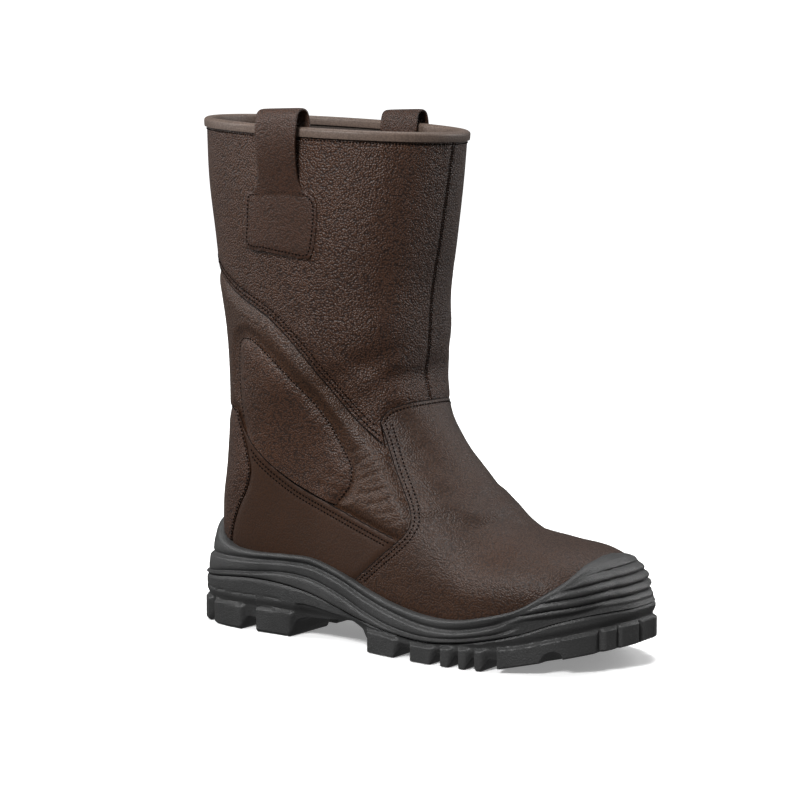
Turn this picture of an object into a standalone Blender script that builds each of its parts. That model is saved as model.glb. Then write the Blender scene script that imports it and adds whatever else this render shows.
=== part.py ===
# Safety boot for the right foot: a pull-on work boot with a hollow leather upper, leather panels
# laid over it, a moulded midsole that grips its lower edge and a lugged outsole.
# Tables and constants are in millimetres or in percent of a driving dimension, meshes in metres.
# Toe along +X, outer (lateral) side along -Y, floor at z = 0.

import math

import bmesh
import bpy
import numpy as np
from mathutils import Matrix, Vector
from mathutils.bvhtree import BVHTree

MM = 0.001

# Driving dimensions
SOLE_LENGTH = 303.0
BALL_WIDTH = 113.0
BOOT_HEIGHT = 313.0
UPPER_WALL = 1.6
PANEL_THICKNESS = 1.2
PAD_THICKNESS = 2.6
PATCH_THICKNESS = 1.5
INSOLE_THICKNESS = 4.0
LIP_THICKNESS = 3.2
LEAST_SOLE_WALL = 2.4
TREAD_DEPTH = 7.0
TOE_TREAD_DEPTH = 4.0
LEAST_MIDSOLE = 4.0
OUTSOLE_RIM = 3.0
BED_CLEARANCE = 1.0
SPLIT_GAP = 0.6
TOE_SPRING = 14.5
GAP = 0.3

# Layers, as offsets from the outer face of the leather panels
PANEL_OUT = 0.0
PANEL_IN = -PANEL_THICKNESS
UPPER_OUT = PANEL_IN - GAP
UPPER_IN = UPPER_OUT - UPPER_WALL
INSOLE_OUT = UPPER_IN - GAP
SOLE_CAVITY = UPPER_OUT + GAP

# Resolution of the upper: points round each section, and samples used to space them evenly
ROUND = 24
SECTION_SAMPLES = 160
# At the toe tip the outward directions lean forward
TIP_SPREAD, TIP_FORWARD = 0.3, 0.95
# Points closer than this are one
WELD = 0.002
# How far a cutting block runs past the boot
BEYOND = 30.0

# Places along the footbed where its height is taken
INSOLE_STATIONS = 25

# Sections of the upper from the toe tip, over the instep and round the heel, to the collar.
# top and low are the two ends of a section in the side view: percent of SOLE_LENGTH along and of
# BOOT_HEIGHT up. lateral, medial and the sideways shift are percent of BALL_WIDTH. widest is the
# level of the greatest width, top_round and low_round are superellipse powers, roll is the rise
# towards the inner side per width, and steps is the number of grid rows to the next section.
SECTION_COLUMNS = ("top_x", "top_z", "low_x", "low_z", "lateral", "medial", "shift",
                   "widest", "top_round", "low_round", "roll", "steps")
SECTIONS = {
    "tip":    (97.2, 13.4, 97.2, 11.4, 1.8, 1.8, 10.6, 0.40, 2.0, 2.0, 0.0, 1),
    "toe_1":  (96.4, 16.3, 96.4, 9.9, 21.2, 17.7, 8.8, 0.42, 2.1, 2.1, 0.0, 1),
    "toe_2":  (93.9, 19.2, 93.9, 8.9, 35.4, 29.2, 6.2, 0.42, 2.2, 2.3, 0.0, 1),
    "toe_3":  (89.1, 21.4, 89.1, 7.9, 44.2, 37.2, 3.5, 0.40, 2.3, 2.8, 0.0, 2),
    "cap":    (81.8, 22.5, 81.8, 6.5, 48.7, 42.5, 0.9, 0.38, 2.3, 3.8, 0.0, 2),
    "ball":   (73.9, 24.6, 73.3, 5.4, 50.0, 44.2, 0.0, 0.36, 2.0, 5.5, 0.0, 2),
    "waist":  (67.0, 30.6, 64.0, 5.8, 48.7, 41.6, 0.0, 0.34, 1.95, 6.0, 0.0, 2),
    "instep": (60.7, 37.4, 53.5, 7.0, 46.0, 39.4, 0.0, 0.32, 2.1, 5.5, 0.0, 1),
    "fan_1":  (55.8, 43.1, 40.3, 8.6, 42.0, 40.0, 0.0, 0.34, 2.3, 4.8, 0.0, 1),
    "fan_2":  (53.3, 46.6, 27.1, 9.9, 39.8, 42.4, 0.0, 0.36, 2.8, 4.0, 0.0, 1),
    "fan_3":  (52.3, 49.5, 15.5, 10.5, 39.8, 44.2, 0.0, 0.38, 3.3, 3.2, 0.0, 1),
    "heel_1": (52.0, 52.1, 6.6, 13.4, 40.7, 45.4, 0.0, 0.42, 3.4, 2.5, 0.0, 1),
    "heel_2": (52.2, 54.6, 4.8, 21.7, 42.5, 46.8, 0.0, 0.45, 3.3, 2.2, 0.0, 1),
    "heel_3": (52.5, 57.2, 5.9, 31.0, 45.1, 48.2, 0.0, 0.48, 2.8, 2.1, 0.0, 1),
    "ankle":  (52.8, 60.7, 7.3, 42.2, 49.6, 50.6, 0.0, 0.50, 2.6, 2.1, 0.0, 2),
    "calf_1": (53.5, 68.1, 7.6, 57.5, 53.1, 53.1, 0.0, 0.50, 2.3, 2.2, 0.0, 1),
    "calf_2": (55.3, 77.6, 5.1, 72.8, 55.8, 54.9, 0.0, 0.50, 2.2, 2.2, 0.012, 1),
    "calf_3": (57.1, 87.9, 3.0, 87.9, 57.5, 56.6, 0.0, 0.50, 2.1, 2.2, 0.025, 1),
    "collar": (58.5, 96.9, 2.2, 101.1, 57.5, 56.6, 0.0, 0.50, 2.0, 2.2, 0.036, 0),
}

# The opening under the foot: from this section to that one, this many grid columns each side
OPENING_FROM, OPENING_TO, OPENING_COLUMNS = "toe_3", "fan_3", 2

# Outline of the sole: percent of SOLE_LENGTH along, percent of BALL_WIDTH to the lateral and
# medial side
OUTLINE = [
    (0.0, -1.8, 1.8),
    (1.0, -15.0, 14.2),
    (4.0, -27.4, 25.7),
    (9.2, -35.8, 34.1),
    (16.5, -39.4, 37.2),
    (26.4, -39.8, 36.7),
    (36.3, -41.6, 34.5),
    (46.2, -45.6, 35.0),
    (56.1, -50.0, 38.5),
    (66.0, -52.7, 44.2),
    (74.3, -52.2, 47.8),
    (82.5, -47.8, 47.8),
    (89.1, -39.8, 44.2),
    (94.7, -28.3, 36.3),
    (98.3, -12.4, 25.7),
    (100.0, 3.5, 15.0),
]

# Middles of the round ends, percent of SOLE_LENGTH
HEEL_MIDDLE, TOE_MIDDLE = 15.0, 83.0

# Lines that run round the side of the sole, as heights in millimetres: the feather edge where the
# sole meets the leather, a groove, a step and the split between midsole and outsole
SIDE_COLUMNS = ("along", "feather", "groove", "step", "split")
SIDE_LINES = [
    (0.0, 66.0, 43.0, 31.0, 29.0),
    (3.3, 62.0, 43.0, 31.5, 29.5),
    (7.3, 55.0, 43.5, 33.0, 30.5),
    (11.9, 51.0, 43.8, 35.0, 32.0),
    (19.1, 49.5, 44.5, 37.0, 33.5),
    (28.0, 50.5, 46.0, 39.0, 32.0),
    (34.7, 50.5, 45.5, 37.5, 29.0),
    (42.6, 44.5, 39.5, 31.0, 23.0),
    (48.8, 38.0, 32.5, 24.0, 18.5),
    (56.1, 31.5, 26.0, 18.0, 14.8),
    (64.4, 27.5, 21.5, 15.4, 13.0),
    (71.0, 27.5, 21.5, 16.5, 14.5),
    (77.9, 31.5, 25.5, 20.2, 18.0),
    (84.2, 37.5, 32.0, 25.4, 23.0),
    (90.8, 51.0, 42.0, 33.0, 30.5),
    (95.7, 60.0, 47.0, 37.0, 34.5),
    (100.0, 63.0, 49.0, 38.5, 36.0),
]

# Profile of the midsole wall from the lip down: the line a level hangs from along the sides, how
# far below it, how far out, then its share of the wall's height at the ribbed toe and how far out
MIDSOLE_WALL = {
    "lip_top":     ("feather", 0.0, -1.0, 0.00, -1.2),
    "lip_edge":    ("feather", 1.3, 0.0, 0.07, 0.2),
    "band_top":    ("groove", -1.6, 0.0, 0.17, 0.5),
    "groove":      ("groove", 0.0, -1.3, 0.25, -0.8),
    "band_upper":  ("groove", 1.4, 0.5, 0.35, 0.7),
    "band_middle": ("groove", 3.0, 0.6, 0.43, -0.7),
    "band_low":    ("step", -1.0, 0.5, 0.53, 0.8),
    "step":        ("step", 0.0, -0.5, 0.61, -0.6),
    "ledge_top":   ("step", 0.8, 1.0, 0.71, 0.8),
    "ledge_low":   ("split", -0.8, 1.2, 0.90, 0.8),
    "split":       ("split", 0.0, 0.0, 1.00, 0.0),
}
RIBS_FROM, RIBS_FULL = 83.0, 91.0
LIP_DEPTH = 14.0
WALL_BULGE = 0.6
THIN_SHARE = 0.2
MIDSOLE_STATIONS = 28

# Lugs of the outsole: where each starts and ends, percent of SOLE_LENGTH
LUGS = {
    "heel_back":   (2.0, 6.4),
    "heel_middle": (8.2, 17.2),
    "heel_front":  (20.4, 29.0),
    "tread_1":     (50.2, 58.2),
    "tread_2":     (61.4, 67.2),
    "tread_3":     (68.6, 71.4),
    "tread_4":     (72.6, 75.0),
    "tread_5":     (76.0, 78.4),
    "tread_6":     (80.4, 88.2),
    "toe_1":       (91.4, 95.8),
    "toe_2":       (96.9, 100.0),
}
LUG_DRAFT = 0.6
HEEL_BEVEL = 1.5
# Underside of the shank between heel and tread: percent of SOLE_LENGTH, height in millimetres
ARCH = [(30.4, 9.0), (32.0, 12.0), (38.5, 13.8), (45.2, 16.0), (48.0, 12.0), (49.4, 7.0)]
TOE_SPRING_FROM = 77.0

# Profile of the outsole wall: share of its height below the split, out over a lug and a channel
OUTSOLE_WALL = {
    "top":      (0.00, -0.2, -0.2),
    "rim":      (0.08, 0.7, 0.7),
    "crease":   (0.45, 0.3, -0.4),
    "foot":     (0.93, 0.2, -1.4),
    "edge":     (1.00, -2.4, -2.8),
}
# Across the tread, from the outer to the inner edge: share of the width, rise of the centre groove
TREAD_ACROSS = [(0.0, 0.0), (0.44, 0.0), (0.46, 1.0), (0.54, 1.0), (0.56, 0.0), (1.0, 0.0)]
CENTRE_GROOVE = 4.0
LONGEST_STEP = 13.0

# Seams of the panels in the side view, millimetres from the heel and the floor
SHAFT_SEAM = [(-30, 258), (20, 229), (57, 209), (84, 195.5), (107, 174), (121.5, 153.5), (135, 136),
              (152.5, 121)]
VAMP_TOP = [(148.2, 134.5), (151, 140.5), (157, 144.5), (166, 147), (190, 150)]
VAMP_REAR = [(148.2, 134.5), (160.5, 110.3), (171, 95), (176.5, 86.4), (178.8, 78.6), (176.5, 72.8),
             (171.5, 67.6), (156, 55.2), (141, 43), (122, 26)]
QUARTER_TOP = [(47, 137), (54.5, 125), (64, 114.5), (77, 104), (93, 94.2), (114, 85.8), (140, 77.2),
               (171.5, 68)]
COUNTER_FRONT = [(47, 137), (54, 119), (58.5, 100), (55, 89), (47, 77), (38, 61), (28, 40)]
COUNTER_TOP = [(-30, 143), (20, 141), (47, 137)]
SOLE_SIDE = 10
PAD_OUTLINE = [
    (57, 181), (66, 183), (80, 175), (98, 159), (113, 142), (126, 121), (134, 106), (133, 96.5), (126.5, 88.5),
    (119, 86.2), (105, 91.6), (92, 97.8), (77, 107), (65, 117.5), (57, 128), (52.5, 140), (53, 168),
]
PATCH_OUTLINE = [
    (73.5, 270.2), (80, 271.2), (113, 271.6), (118, 269.3), (121.3, 265), (122, 258), (120.6, 246),
    (118.2, 235), (116, 231.6), (112.5, 230.9), (104, 232.2), (84, 235.3), (74, 236.2), (70.3, 238),
    (69.3, 241.5), (70.5, 252), (71.8, 266),
]

# Collar binding, as a profile of distance out from the panels and height above the wall's top
BINDING_THICKNESS = 1.2
BINDING_LEG = 3.4
BINDING_CROWN = 2.0
BINDING_SHOULDER = 0.3

# Pull loop: a strap from the patch, over the collar and down the inside.
# Columns: out from the panels' outer face, height above the floor, thickness of the strap.
LOOP_CENTRE, LOOP_WIDTH = 98.5, 29.0
LOOP_PATH = {
    "tail":        (1.05, 258.0, 0.9),
    "foot":        (1.15, 267.0, 1.1),
    "lift":        (2.9, 279.0, 2.0),
    "stand":       (5.6, 293.0, 2.0),
    "shoulder":    (6.4, 307.0, 2.0),
    "crown_out":   (4.4, 317.5, 2.0),
    "crown":       (-0.6, 320.3, 2.0),
    "crown_in":    (-5.6, 317.8, 2.0),
    "drop":        (-7.4, 308.0, 2.0),
    "inside":      (-6.2, 297.0, 2.0),
    "inside_low":  (-4.8, 286.0, 2.0),
    "inside_tail": (-4.6, 274.0, 1.8),
}
LOOP_ACROSS = 3
LOOP_STEPS = 16
LOOP_ROLL = 0.035
COLLAR_REFERENCE = 296.0

# Surface colours as sRGB hex, roughness
FINISH = {
    "outsole":           ("3a3a3b", 0.75),
    "midsole":           ("474748", 0.70),
    "insole":            ("2c2a28", 0.90),
    "upper":             ("43352e", 0.55),
    "shaft":             ("473831", 0.55),
    "vamp":              ("50413a", 0.50),
    "heel_counter":      ("4a3a33", 0.50),
    "quarter_lateral":   ("3c2d26", 0.45),
    "quarter_medial":    ("3c2d26", 0.45),
    "ankle_pad_lateral": ("4c3d36", 0.55),
    "ankle_pad_medial":  ("4c3d36", 0.55),
    "collar_binding":    ("5d534e", 0.65),
    "pull_loop_lateral": ("4e3d36", 0.60),
    "pull_loop_medial":  ("4e3d36", 0.60),
}
SHARP_ANGLE = math.radians(40)
FAR = 140.0


def hermite(knots, values, at):
    # Smooth curve through a table, with finite-difference slopes for uneven knots
    knots = np.asarray(knots, float)
    values = np.asarray(values, float)
    at = np.clip(np.asarray(at, float), knots[0], knots[-1])
    secant = np.diff(values) / np.diff(knots)
    slope = np.concatenate([secant[:1], (secant[1:] + secant[:-1]) / 2, secant[-1:]])
    cell = np.clip(np.searchsorted(knots, at, side="right") - 1, 0, len(knots) - 2)
    width = knots[cell + 1] - knots[cell]
    f = (at - knots[cell]) / width
    return (values[cell] * (1 + 2 * f) * (1 - f) ** 2 + slope[cell] * width * f * (1 - f) ** 2
            + values[cell + 1] * f * f * (3 - 2 * f) + slope[cell + 1] * width * f * f * (f - 1))


def smoothstep(low, high, value):
    f = np.clip((np.asarray(value, float) - low) / (high - low), 0, 1)
    return f * f * (3 - 2 * f)


def section_rows():
    # Grid rows as positions between the table's sections
    names = list(SECTIONS)
    rows = []
    for index, name in enumerate(names):
        steps = SECTIONS[name][-1]
        rows += [index + step / steps for step in range(steps)]
    return np.array(rows + [len(names) - 1.0])


def section_values(rows):
    table = np.array(list(SECTIONS.values()))
    columns = {name: hermite(range(len(table)), table[:, k], rows)
               for k, name in enumerate(SECTION_COLUMNS)}
    for name in ("top_x", "low_x"):
        columns[name] = columns[name] * SOLE_LENGTH / 100
    for name in ("top_z", "low_z"):
        columns[name] = columns[name] * BOOT_HEIGHT / 100
    for name in ("lateral", "medial", "shift"):
        columns[name] = columns[name] * BALL_WIDTH / 100
    return columns


def half_section(s, row, side):
    # One side of a section, a superellipse from the top point to the low point
    turn = np.linspace(0, math.pi, SECTION_SAMPLES)
    upper = turn <= math.pi / 2
    power = np.where(upper, 2 / s["top_round"][row], 2 / s["low_round"][row])
    reach = np.abs(np.cos(turn)) ** power
    widest = s["widest"][row]
    level = np.where(upper, widest + (1 - widest) * reach, widest - widest * reach)
    half_width = s["lateral"][row] if side < 0 else s["medial"][row]
    points = np.stack([
        s["low_x"][row] + (s["top_x"][row] - s["low_x"][row]) * level,
        s["shift"][row] + side * half_width * np.abs(np.sin(turn)) ** power,
        s["low_z"][row] + (s["top_z"][row] - s["low_z"][row]) * level
        + s["roll"][row] * side * half_width * np.abs(np.sin(turn)) ** power], 1)
    run = np.concatenate([[0], np.cumsum(np.linalg.norm(np.diff(points, axis=0), axis=1))])
    even = np.linspace(0, run[-1], ROUND // 2 + 1)
    return np.stack([np.interp(even, run, points[:, k]) for k in range(3)], 1)


def last_grid():
    # The outer face of the leather as rows of points, and its outward normals
    rows = section_rows()
    s = section_values(rows)
    loops = []
    for row in range(len(rows)):
        outer = half_section(s, row, -1)
        inner = half_section(s, row, 1)
        loops.append(np.vstack([outer, inner[::-1][1:-1]]))
    grid = np.stack(loops)
    around = np.roll(grid, -1, 1) - np.roll(grid, 1, 1)
    along = np.gradient(grid, axis=0)
    normal = np.cross(along, around)
    normal /= np.linalg.norm(normal, axis=2, keepdims=True)
    centre = grid.mean(1, keepdims=True)
    normal *= np.sign(((grid - centre) * normal).sum((1, 2)).mean())
    normal[0] = normal[0] * TIP_SPREAD + np.array([TIP_FORWARD, 0, 0])
    normal[0] /= np.linalg.norm(normal[0], axis=1, keepdims=True)
    return rows, grid, normal


ROWS, GRID, NORMAL = last_grid()
ROW_COUNT = len(ROWS)
SECTION_INDEX = {name: index for index, name in enumerate(SECTIONS)}


def linear_colour(hex_code):
    channels = [int(hex_code[k:k + 2], 16) / 255 for k in (0, 2, 4)]
    return [c / 12.92 if c <= 0.04045 else ((c + 0.055) / 1.055) ** 2.4 for c in channels] + [1.0]


def finish(name):
    colour, roughness = FINISH[name]
    material = bpy.data.materials.new(name)
    material.use_nodes = True
    shader = material.node_tree.nodes["Principled BSDF"]
    shader.inputs["Base Color"].default_value = linear_colour(colour)
    shader.inputs["Roughness"].default_value = roughness
    shader.inputs["Metallic"].default_value = 0.0
    material.diffuse_color = linear_colour(colour)
    return material


def solid(name, points, faces):
    # A closed mesh object from points in millimetres, with its faces turned outward
    mesh = bpy.data.meshes.new(name)
    mesh.from_pydata([tuple(p) for p in np.asarray(points, float) * MM], [], faces)
    work = bmesh.new()
    work.from_mesh(mesh)
    loose = [v for v in work.verts if not v.link_faces]
    bmesh.ops.delete(work, geom=loose, context="VERTS")
    bmesh.ops.recalc_face_normals(work, faces=work.faces)
    work.to_mesh(mesh)
    work.free()
    item = bpy.data.objects.new(name, mesh)
    bpy.context.scene.collection.objects.link(item)
    return item


def carve(item, cutter, operation, solver="EXACT"):
    # Apply a Boolean and drop the cutter
    modifier = item.modifiers.new("carve", "BOOLEAN")
    modifier.operation = operation
    modifier.solver = solver
    modifier.object = cutter
    bpy.context.view_layer.update()
    shape = item.evaluated_get(bpy.context.evaluated_depsgraph_get())
    mesh = bpy.data.meshes.new_from_object(shape)
    item.modifiers.clear()
    item.data = mesh
    bpy.data.objects.remove(cutter)
    work = bmesh.new()
    work.from_mesh(mesh)
    bmesh.ops.remove_doubles(work, verts=work.verts, dist=WELD * MM)
    bmesh.ops.dissolve_degenerate(work, edges=work.edges, dist=WELD * MM)
    work.to_mesh(mesh)
    work.free()
    return item


def complete(item):
    # Material and shading of a finished piece
    item.data.materials.clear()
    item.data.materials.append(finish(item.name))
    item.data.shade_smooth()
    item.data.set_sharp_from_angle(angle=SHARP_ANGLE)
    return item


def layer_points(offset):
    return (GRID + NORMAL * np.asarray(offset, float)).reshape(-1, 3)


def grid_cells(skip=()):
    # Triangles of the grid by vertex index, leaving out the cells of an opening. Every layer is
    # split along the same diagonals, mirrored left to right, so that layers stay parallel.
    for row in range(ROW_COUNT - 1):
        for column in range(ROUND):
            if (row, column) in skip:
                continue
            after = (column + 1) % ROUND
            a, b = row * ROUND + column, row * ROUND + after
            d, c = a + ROUND, b + ROUND
            if column < ROUND // 2:
                yield a, b, c
                yield a, c, d
            else:
                yield a, b, d
                yield b, c, d


def tip_cap(first, centre):
    return [(first + k, first + (k + 1) % ROUND, centre) for k in range(ROUND)]


def closed_last(offset):
    # The whole last as one filled form, used only to cut with and to be cut
    points = layer_points(offset)
    tip = len(points)
    points = np.vstack([points, points[:ROUND].mean(0)])
    top = (ROW_COUNT - 1) * ROUND
    faces = list(grid_cells()) + tip_cap(0, tip) + [tuple(range(top, top + ROUND))]
    return points, faces


def shell(name, outside, inside, opening=()):
    # A leather layer of even thickness round the last, open at the collar and at any opening
    outer = layer_points(outside)
    inner = layer_points(inside)
    count = len(outer)
    tips = np.stack([outer[:ROUND].mean(0), inner[:ROUND].mean(0)])
    points = np.vstack([outer, inner, tips])
    faces = []
    edges = {}
    for cell in grid_cells(opening):
        faces.append(cell)
        faces.append(tuple(count + k for k in reversed(cell)))
        for a, b in zip(cell, cell[1:] + cell[:1]):
            edges[(a, b)] = True
    faces += tip_cap(0, 2 * count)
    faces += tip_cap(count, 2 * count + 1)
    rim = [(a, b) for a, b in edges if (b, a) not in edges and a >= ROUND]
    faces += [(a, b, count + b, count + a) for a, b in rim]
    return solid(name, points, faces)


def opening_cells():
    # Grid cells under the foot that the sole closes instead of the upper
    first = np.searchsorted(ROWS, SECTION_INDEX[OPENING_FROM])
    last = np.searchsorted(ROWS, SECTION_INDEX[OPENING_TO])
    low = ROUND // 2
    columns = range(low - OPENING_COLUMNS, low + OPENING_COLUMNS)
    return {(row, column) for row in range(first, last) for column in columns}


def curve_through(points, closed=False, per_span=2):
    # Smooth polyline through hand-placed points
    points = np.asarray(points, float)
    if closed:
        points = np.vstack([points[-2:], points, points[:3]])
    run = np.concatenate([[0], np.cumsum(np.linalg.norm(np.diff(points, axis=0), axis=1))])
    first, last = (2, len(points) - 3) if closed else (0, len(points) - 1)
    at = []
    for k in range(first, last):
        at += list(np.linspace(run[k], run[k + 1], per_span, endpoint=False))
    if not closed:
        at.append(run[last])
    return np.stack([hermite(run, points[:, k], at) for k in range(2)], 1)


def inset_outline(outline, distance):
    # Move a closed outline inward by a small distance
    outline = np.asarray(outline, float)
    area = np.sum(outline[:, 0] * np.roll(outline[:, 1], -1) - np.roll(outline[:, 0], -1) * outline[:, 1])
    tangent = np.roll(outline, -1, 0) - np.roll(outline, 1, 0)
    inward = np.stack([-tangent[:, 1], tangent[:, 0]], 1) * np.sign(area)
    inward /= np.linalg.norm(inward, axis=1, keepdims=True)
    return outline + inward * distance


def side_prism(outline, near, far):
    # A block with a side-view outline, from y = near to y = far
    count = len(outline)
    ring = np.asarray(outline, float)
    points = np.vstack([np.stack([ring[:, 0], np.full(count, y), ring[:, 1]], 1) for y in (near, far)])
    faces = [tuple(range(count)), tuple(range(2 * count - 1, count - 1, -1))]
    faces += [(k, (k + 1) % count, count + (k + 1) % count, count + k) for k in range(count)]
    return solid("cutter", points, faces)


def panel(name, outline, near=-FAR, far=FAR, outside=PANEL_OUT, inside=PANEL_IN):
    # A leather panel: the layer between two forms of the last, inside a side-view outline.
    # The exact solver returns nothing for the vamp, so the panels use the manifold one.
    item = shell(name, outside, inside)
    block = side_prism(inset_outline(outline, GAP / 2), near, far)
    return carve(item, block, "INTERSECT", "MANIFOLD")


def joined(*runs):
    # Chain seams into one closed outline, leaving out repeated corners
    chain = []
    for run in runs:
        for point in run:
            if not chain or math.dist(chain[-1], point) > GAP:
                chain.append(tuple(point))
    if math.dist(chain[0], chain[-1]) < GAP:
        chain.pop()
    return chain


def make_upper():
    return complete(shell("upper", UPPER_OUT, UPPER_IN, opening_cells()))


def make_panels(tree):
    shaft_seam = curve_through(SHAFT_SEAM)
    vamp_top = curve_through(VAMP_TOP)
    vamp_rear = curve_through(VAMP_REAR)
    quarter_top = curve_through(QUARTER_TOP)
    counter_front = curve_through(COUNTER_FRONT)
    seam_corner = np.argmin(abs(vamp_rear[:, 1] - QUARTER_TOP[-1][1]))
    above, ahead, behind = BOOT_HEIGHT + BEYOND, SOLE_LENGTH + BEYOND, -BEYOND
    vamp_foot, counter_foot = (VAMP_REAR[-1][0], SOLE_SIDE), (COUNTER_FRONT[-1][0], SOLE_SIDE)
    bend = (ahead, VAMP_TOP[-1][1])
    shaft = joined(shaft_seam, vamp_top, [bend, (ahead, above), (behind, above)])
    vamp = joined(vamp_rear, [vamp_foot, (ahead, SOLE_SIDE), bend], vamp_top[::-1])
    counter = joined(counter_front, [counter_foot, (behind, SOLE_SIDE)], COUNTER_TOP)
    quarter = joined(quarter_top, vamp_rear[seam_corner:], [vamp_foot, counter_foot],
                     counter_front[::-1])
    pad = curve_through(PAD_OUTLINE, closed=True, per_span=1)
    items = [panel("shaft", shaft), panel("vamp", vamp), panel("heel_counter", counter)]
    for side, near, far in (("lateral", -FAR, 0), ("medial", 0, FAR)):
        items.append(panel("quarter_" + side, quarter, near, far))
        items.append(panel("ankle_pad_" + side, pad, near, far, PANEL_IN + PAD_THICKNESS))
    for item in items:
        if item.name.startswith(("vamp", "heel", "quarter")):
            lip = solid("cutter", *sole_body(tree, GAP))
            carve(item, lip, "DIFFERENCE", "MANIFOLD")
    return [complete(item) for item in items]


def make_binding():
    # Binding folded over the top edge of upper and shaft
    base = GRID[-1]
    out = NORMAL[-1]
    up = GRID[-1] - GRID[-2]
    up /= np.linalg.norm(up, axis=1, keepdims=True)
    near_out, near_in = PANEL_OUT + GAP, UPPER_IN - GAP
    far_out, far_in = near_out + BINDING_THICKNESS, near_in - BINDING_THICKNESS
    profile = [(far_out, -BINDING_LEG), (far_out, BINDING_SHOULDER), (near_out, BINDING_CROWN),
               (near_in, BINDING_CROWN), (far_in, BINDING_SHOULDER), (far_in, -BINDING_LEG),
               (near_in, -BINDING_LEG), (near_in, GAP), (near_out, GAP),
               (near_out, -BINDING_LEG)]
    points = np.vstack([base + out * o + up * h for o, h in profile])
    faces = []
    for ring in range(len(profile)):
        after = (ring + 1) % len(profile)
        for k in range(ROUND):
            n = (k + 1) % ROUND
            faces.append((ring * ROUND + k, ring * ROUND + n, after * ROUND + n, after * ROUND + k))
    return complete(solid("collar_binding", points, faces))


def last_tree(offset):
    points, faces = closed_last(offset)
    return BVHTree.FromPolygons([Vector(p) for p in points], faces)


def make_loops(tree):
    # Pull straps, each one piece with the patch that sews it to the shaft
    path = np.array(list(LOOP_PATH.values()))
    run = np.arange(len(path))
    fine = np.linspace(0, len(path) - 1, LOOP_STEPS)
    out, up, thick = (hermite(run, column, fine) for column in path.T)
    forward = np.stack([np.gradient(out), np.gradient(up)], 1)
    forward /= np.linalg.norm(forward, axis=1, keepdims=True)
    across = LOOP_CENTRE + LOOP_WIDTH * np.linspace(-0.5, 0.5, LOOP_ACROSS + 1)
    patch = curve_through(PATCH_OUTLINE, closed=True, per_span=1)
    items = []
    for name, side in (("lateral", -1), ("medial", 1)):
        points = []
        for step in range(len(fine)):
            for face in (0.5, -0.5):
                o = out[step] + face * thick[step] * forward[step, 1]
                z = up[step] - face * thick[step] * forward[step, 0]
                for x in across:
                    level = min(up[step], COLLAR_REFERENCE)
                    hit = tree.ray_cast(Vector((x, side * FAR, level)), Vector((0, -side, 0)))[0]
                    y = hit.y + side * o
                    points.append((x, y, z + LOOP_ROLL * y))
        wide = LOOP_ACROSS + 1
        ring = list(range(wide)) + list(range(2 * wide - 1, wide - 1, -1))
        faces = [tuple(ring), tuple((len(fine) - 1) * 2 * wide + k for k in reversed(ring))]
        for step in range(len(fine) - 1):
            here, there = step * 2 * wide, (step + 1) * 2 * wide
            for a, b in zip(ring, ring[1:] + ring[:1]):
                faces.append((here + a, here + b, there + b, there + a))
        strap = solid("strap", points, faces)
        item = panel("pull_loop_" + name, patch, min(0, side * FAR), max(0, side * FAR),
                     PANEL_OUT + GAP + PATCH_THICKNESS, PANEL_OUT + GAP)
        items.append(complete(carve(item, strap, "UNION")))
    return items


def seat_line(along):
    # Height of the underside of the leather along the foot
    s = section_values(ROWS)
    foot = ROWS <= SECTION_INDEX["fan_3"]
    return np.interp(along, s["low_x"][foot][::-1], s["low_z"][foot][::-1])


def make_insole():
    # Footbed: the lowest part of the inside of the upper
    stations = np.linspace(0, SOLE_LENGTH, INSOLE_STATIONS)
    top = seat_line(stations) - INSOLE_OUT + INSOLE_THICKNESS
    outline = list(zip(stations, top)) + [(SOLE_LENGTH, -BEYOND), (0, -BEYOND)]
    points, faces = closed_last(INSOLE_OUT)
    item = solid("insole", points, faces)
    return complete(carve(item, side_prism(outline, -FAR, FAR), "INTERSECT"))


def end_turn(along):
    # Half-circle angle of a place along the sole, which keeps both ends round
    return np.arccos(np.clip(1 - 2 * np.asarray(along, float) / SOLE_LENGTH, -1, 1))


def at_turn(turn):
    return SOLE_LENGTH / 2 * (1 - np.cos(turn))


def outline_at(along):
    # Lateral and medial edge of the sole
    share, lateral, medial = np.array(OUTLINE).T
    knots = end_turn(share * SOLE_LENGTH / 100)
    return tuple(hermite(knots, edge, end_turn(along)) * BALL_WIDTH / 100 for edge in (lateral, medial))


def outline_loop(along):
    # Closed loop of stations, outer side heel to toe and inner side back, with outward directions
    # that fan out round the middles of heel and toe
    lateral, medial = outline_at(along)
    loop = np.vstack([np.stack([along, lateral], 1), np.stack([along, medial], 1)[::-1]])
    middle = np.clip(loop[:, 0], HEEL_MIDDLE * SOLE_LENGTH / 100, TOE_MIDDLE * SOLE_LENGTH / 100)
    outward = loop - np.stack([middle, sum(outline_at(middle)) / 2], 1)
    return loop, outward / np.linalg.norm(outward, axis=1, keepdims=True)


def side_line(name, along):
    table = np.array(SIDE_LINES)
    return hermite(table[:, 0] * SOLE_LENGTH / 100, table[:, SIDE_COLUMNS.index(name)], along)


def rim_step(loop, normal, inset, rim_lift, bed_lift):
    # Rings where the split drops from the outsole's rim to its bed, which leaves midsole under the foot
    rim_level = side_line("split", loop[:, 0]) - SPLIT_GAP
    bed = loop - normal * (inset + 2 * GAP)
    bed_level = np.minimum(rim_level, seat_line(bed[:, 0]) - LEAST_MIDSOLE)
    return [np.column_stack([loop - normal * inset, rim_level + rim_lift]),
            np.column_stack([bed, bed_level + bed_lift])]


def ladder(ring, count):
    # Quads across a ring of paired stations, closing a top or a bottom
    return [(ring + k, ring + k + 1, ring + 2 * count - 2 - k, ring + 2 * count - 1 - k)
            for k in range(count - 1)]


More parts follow.
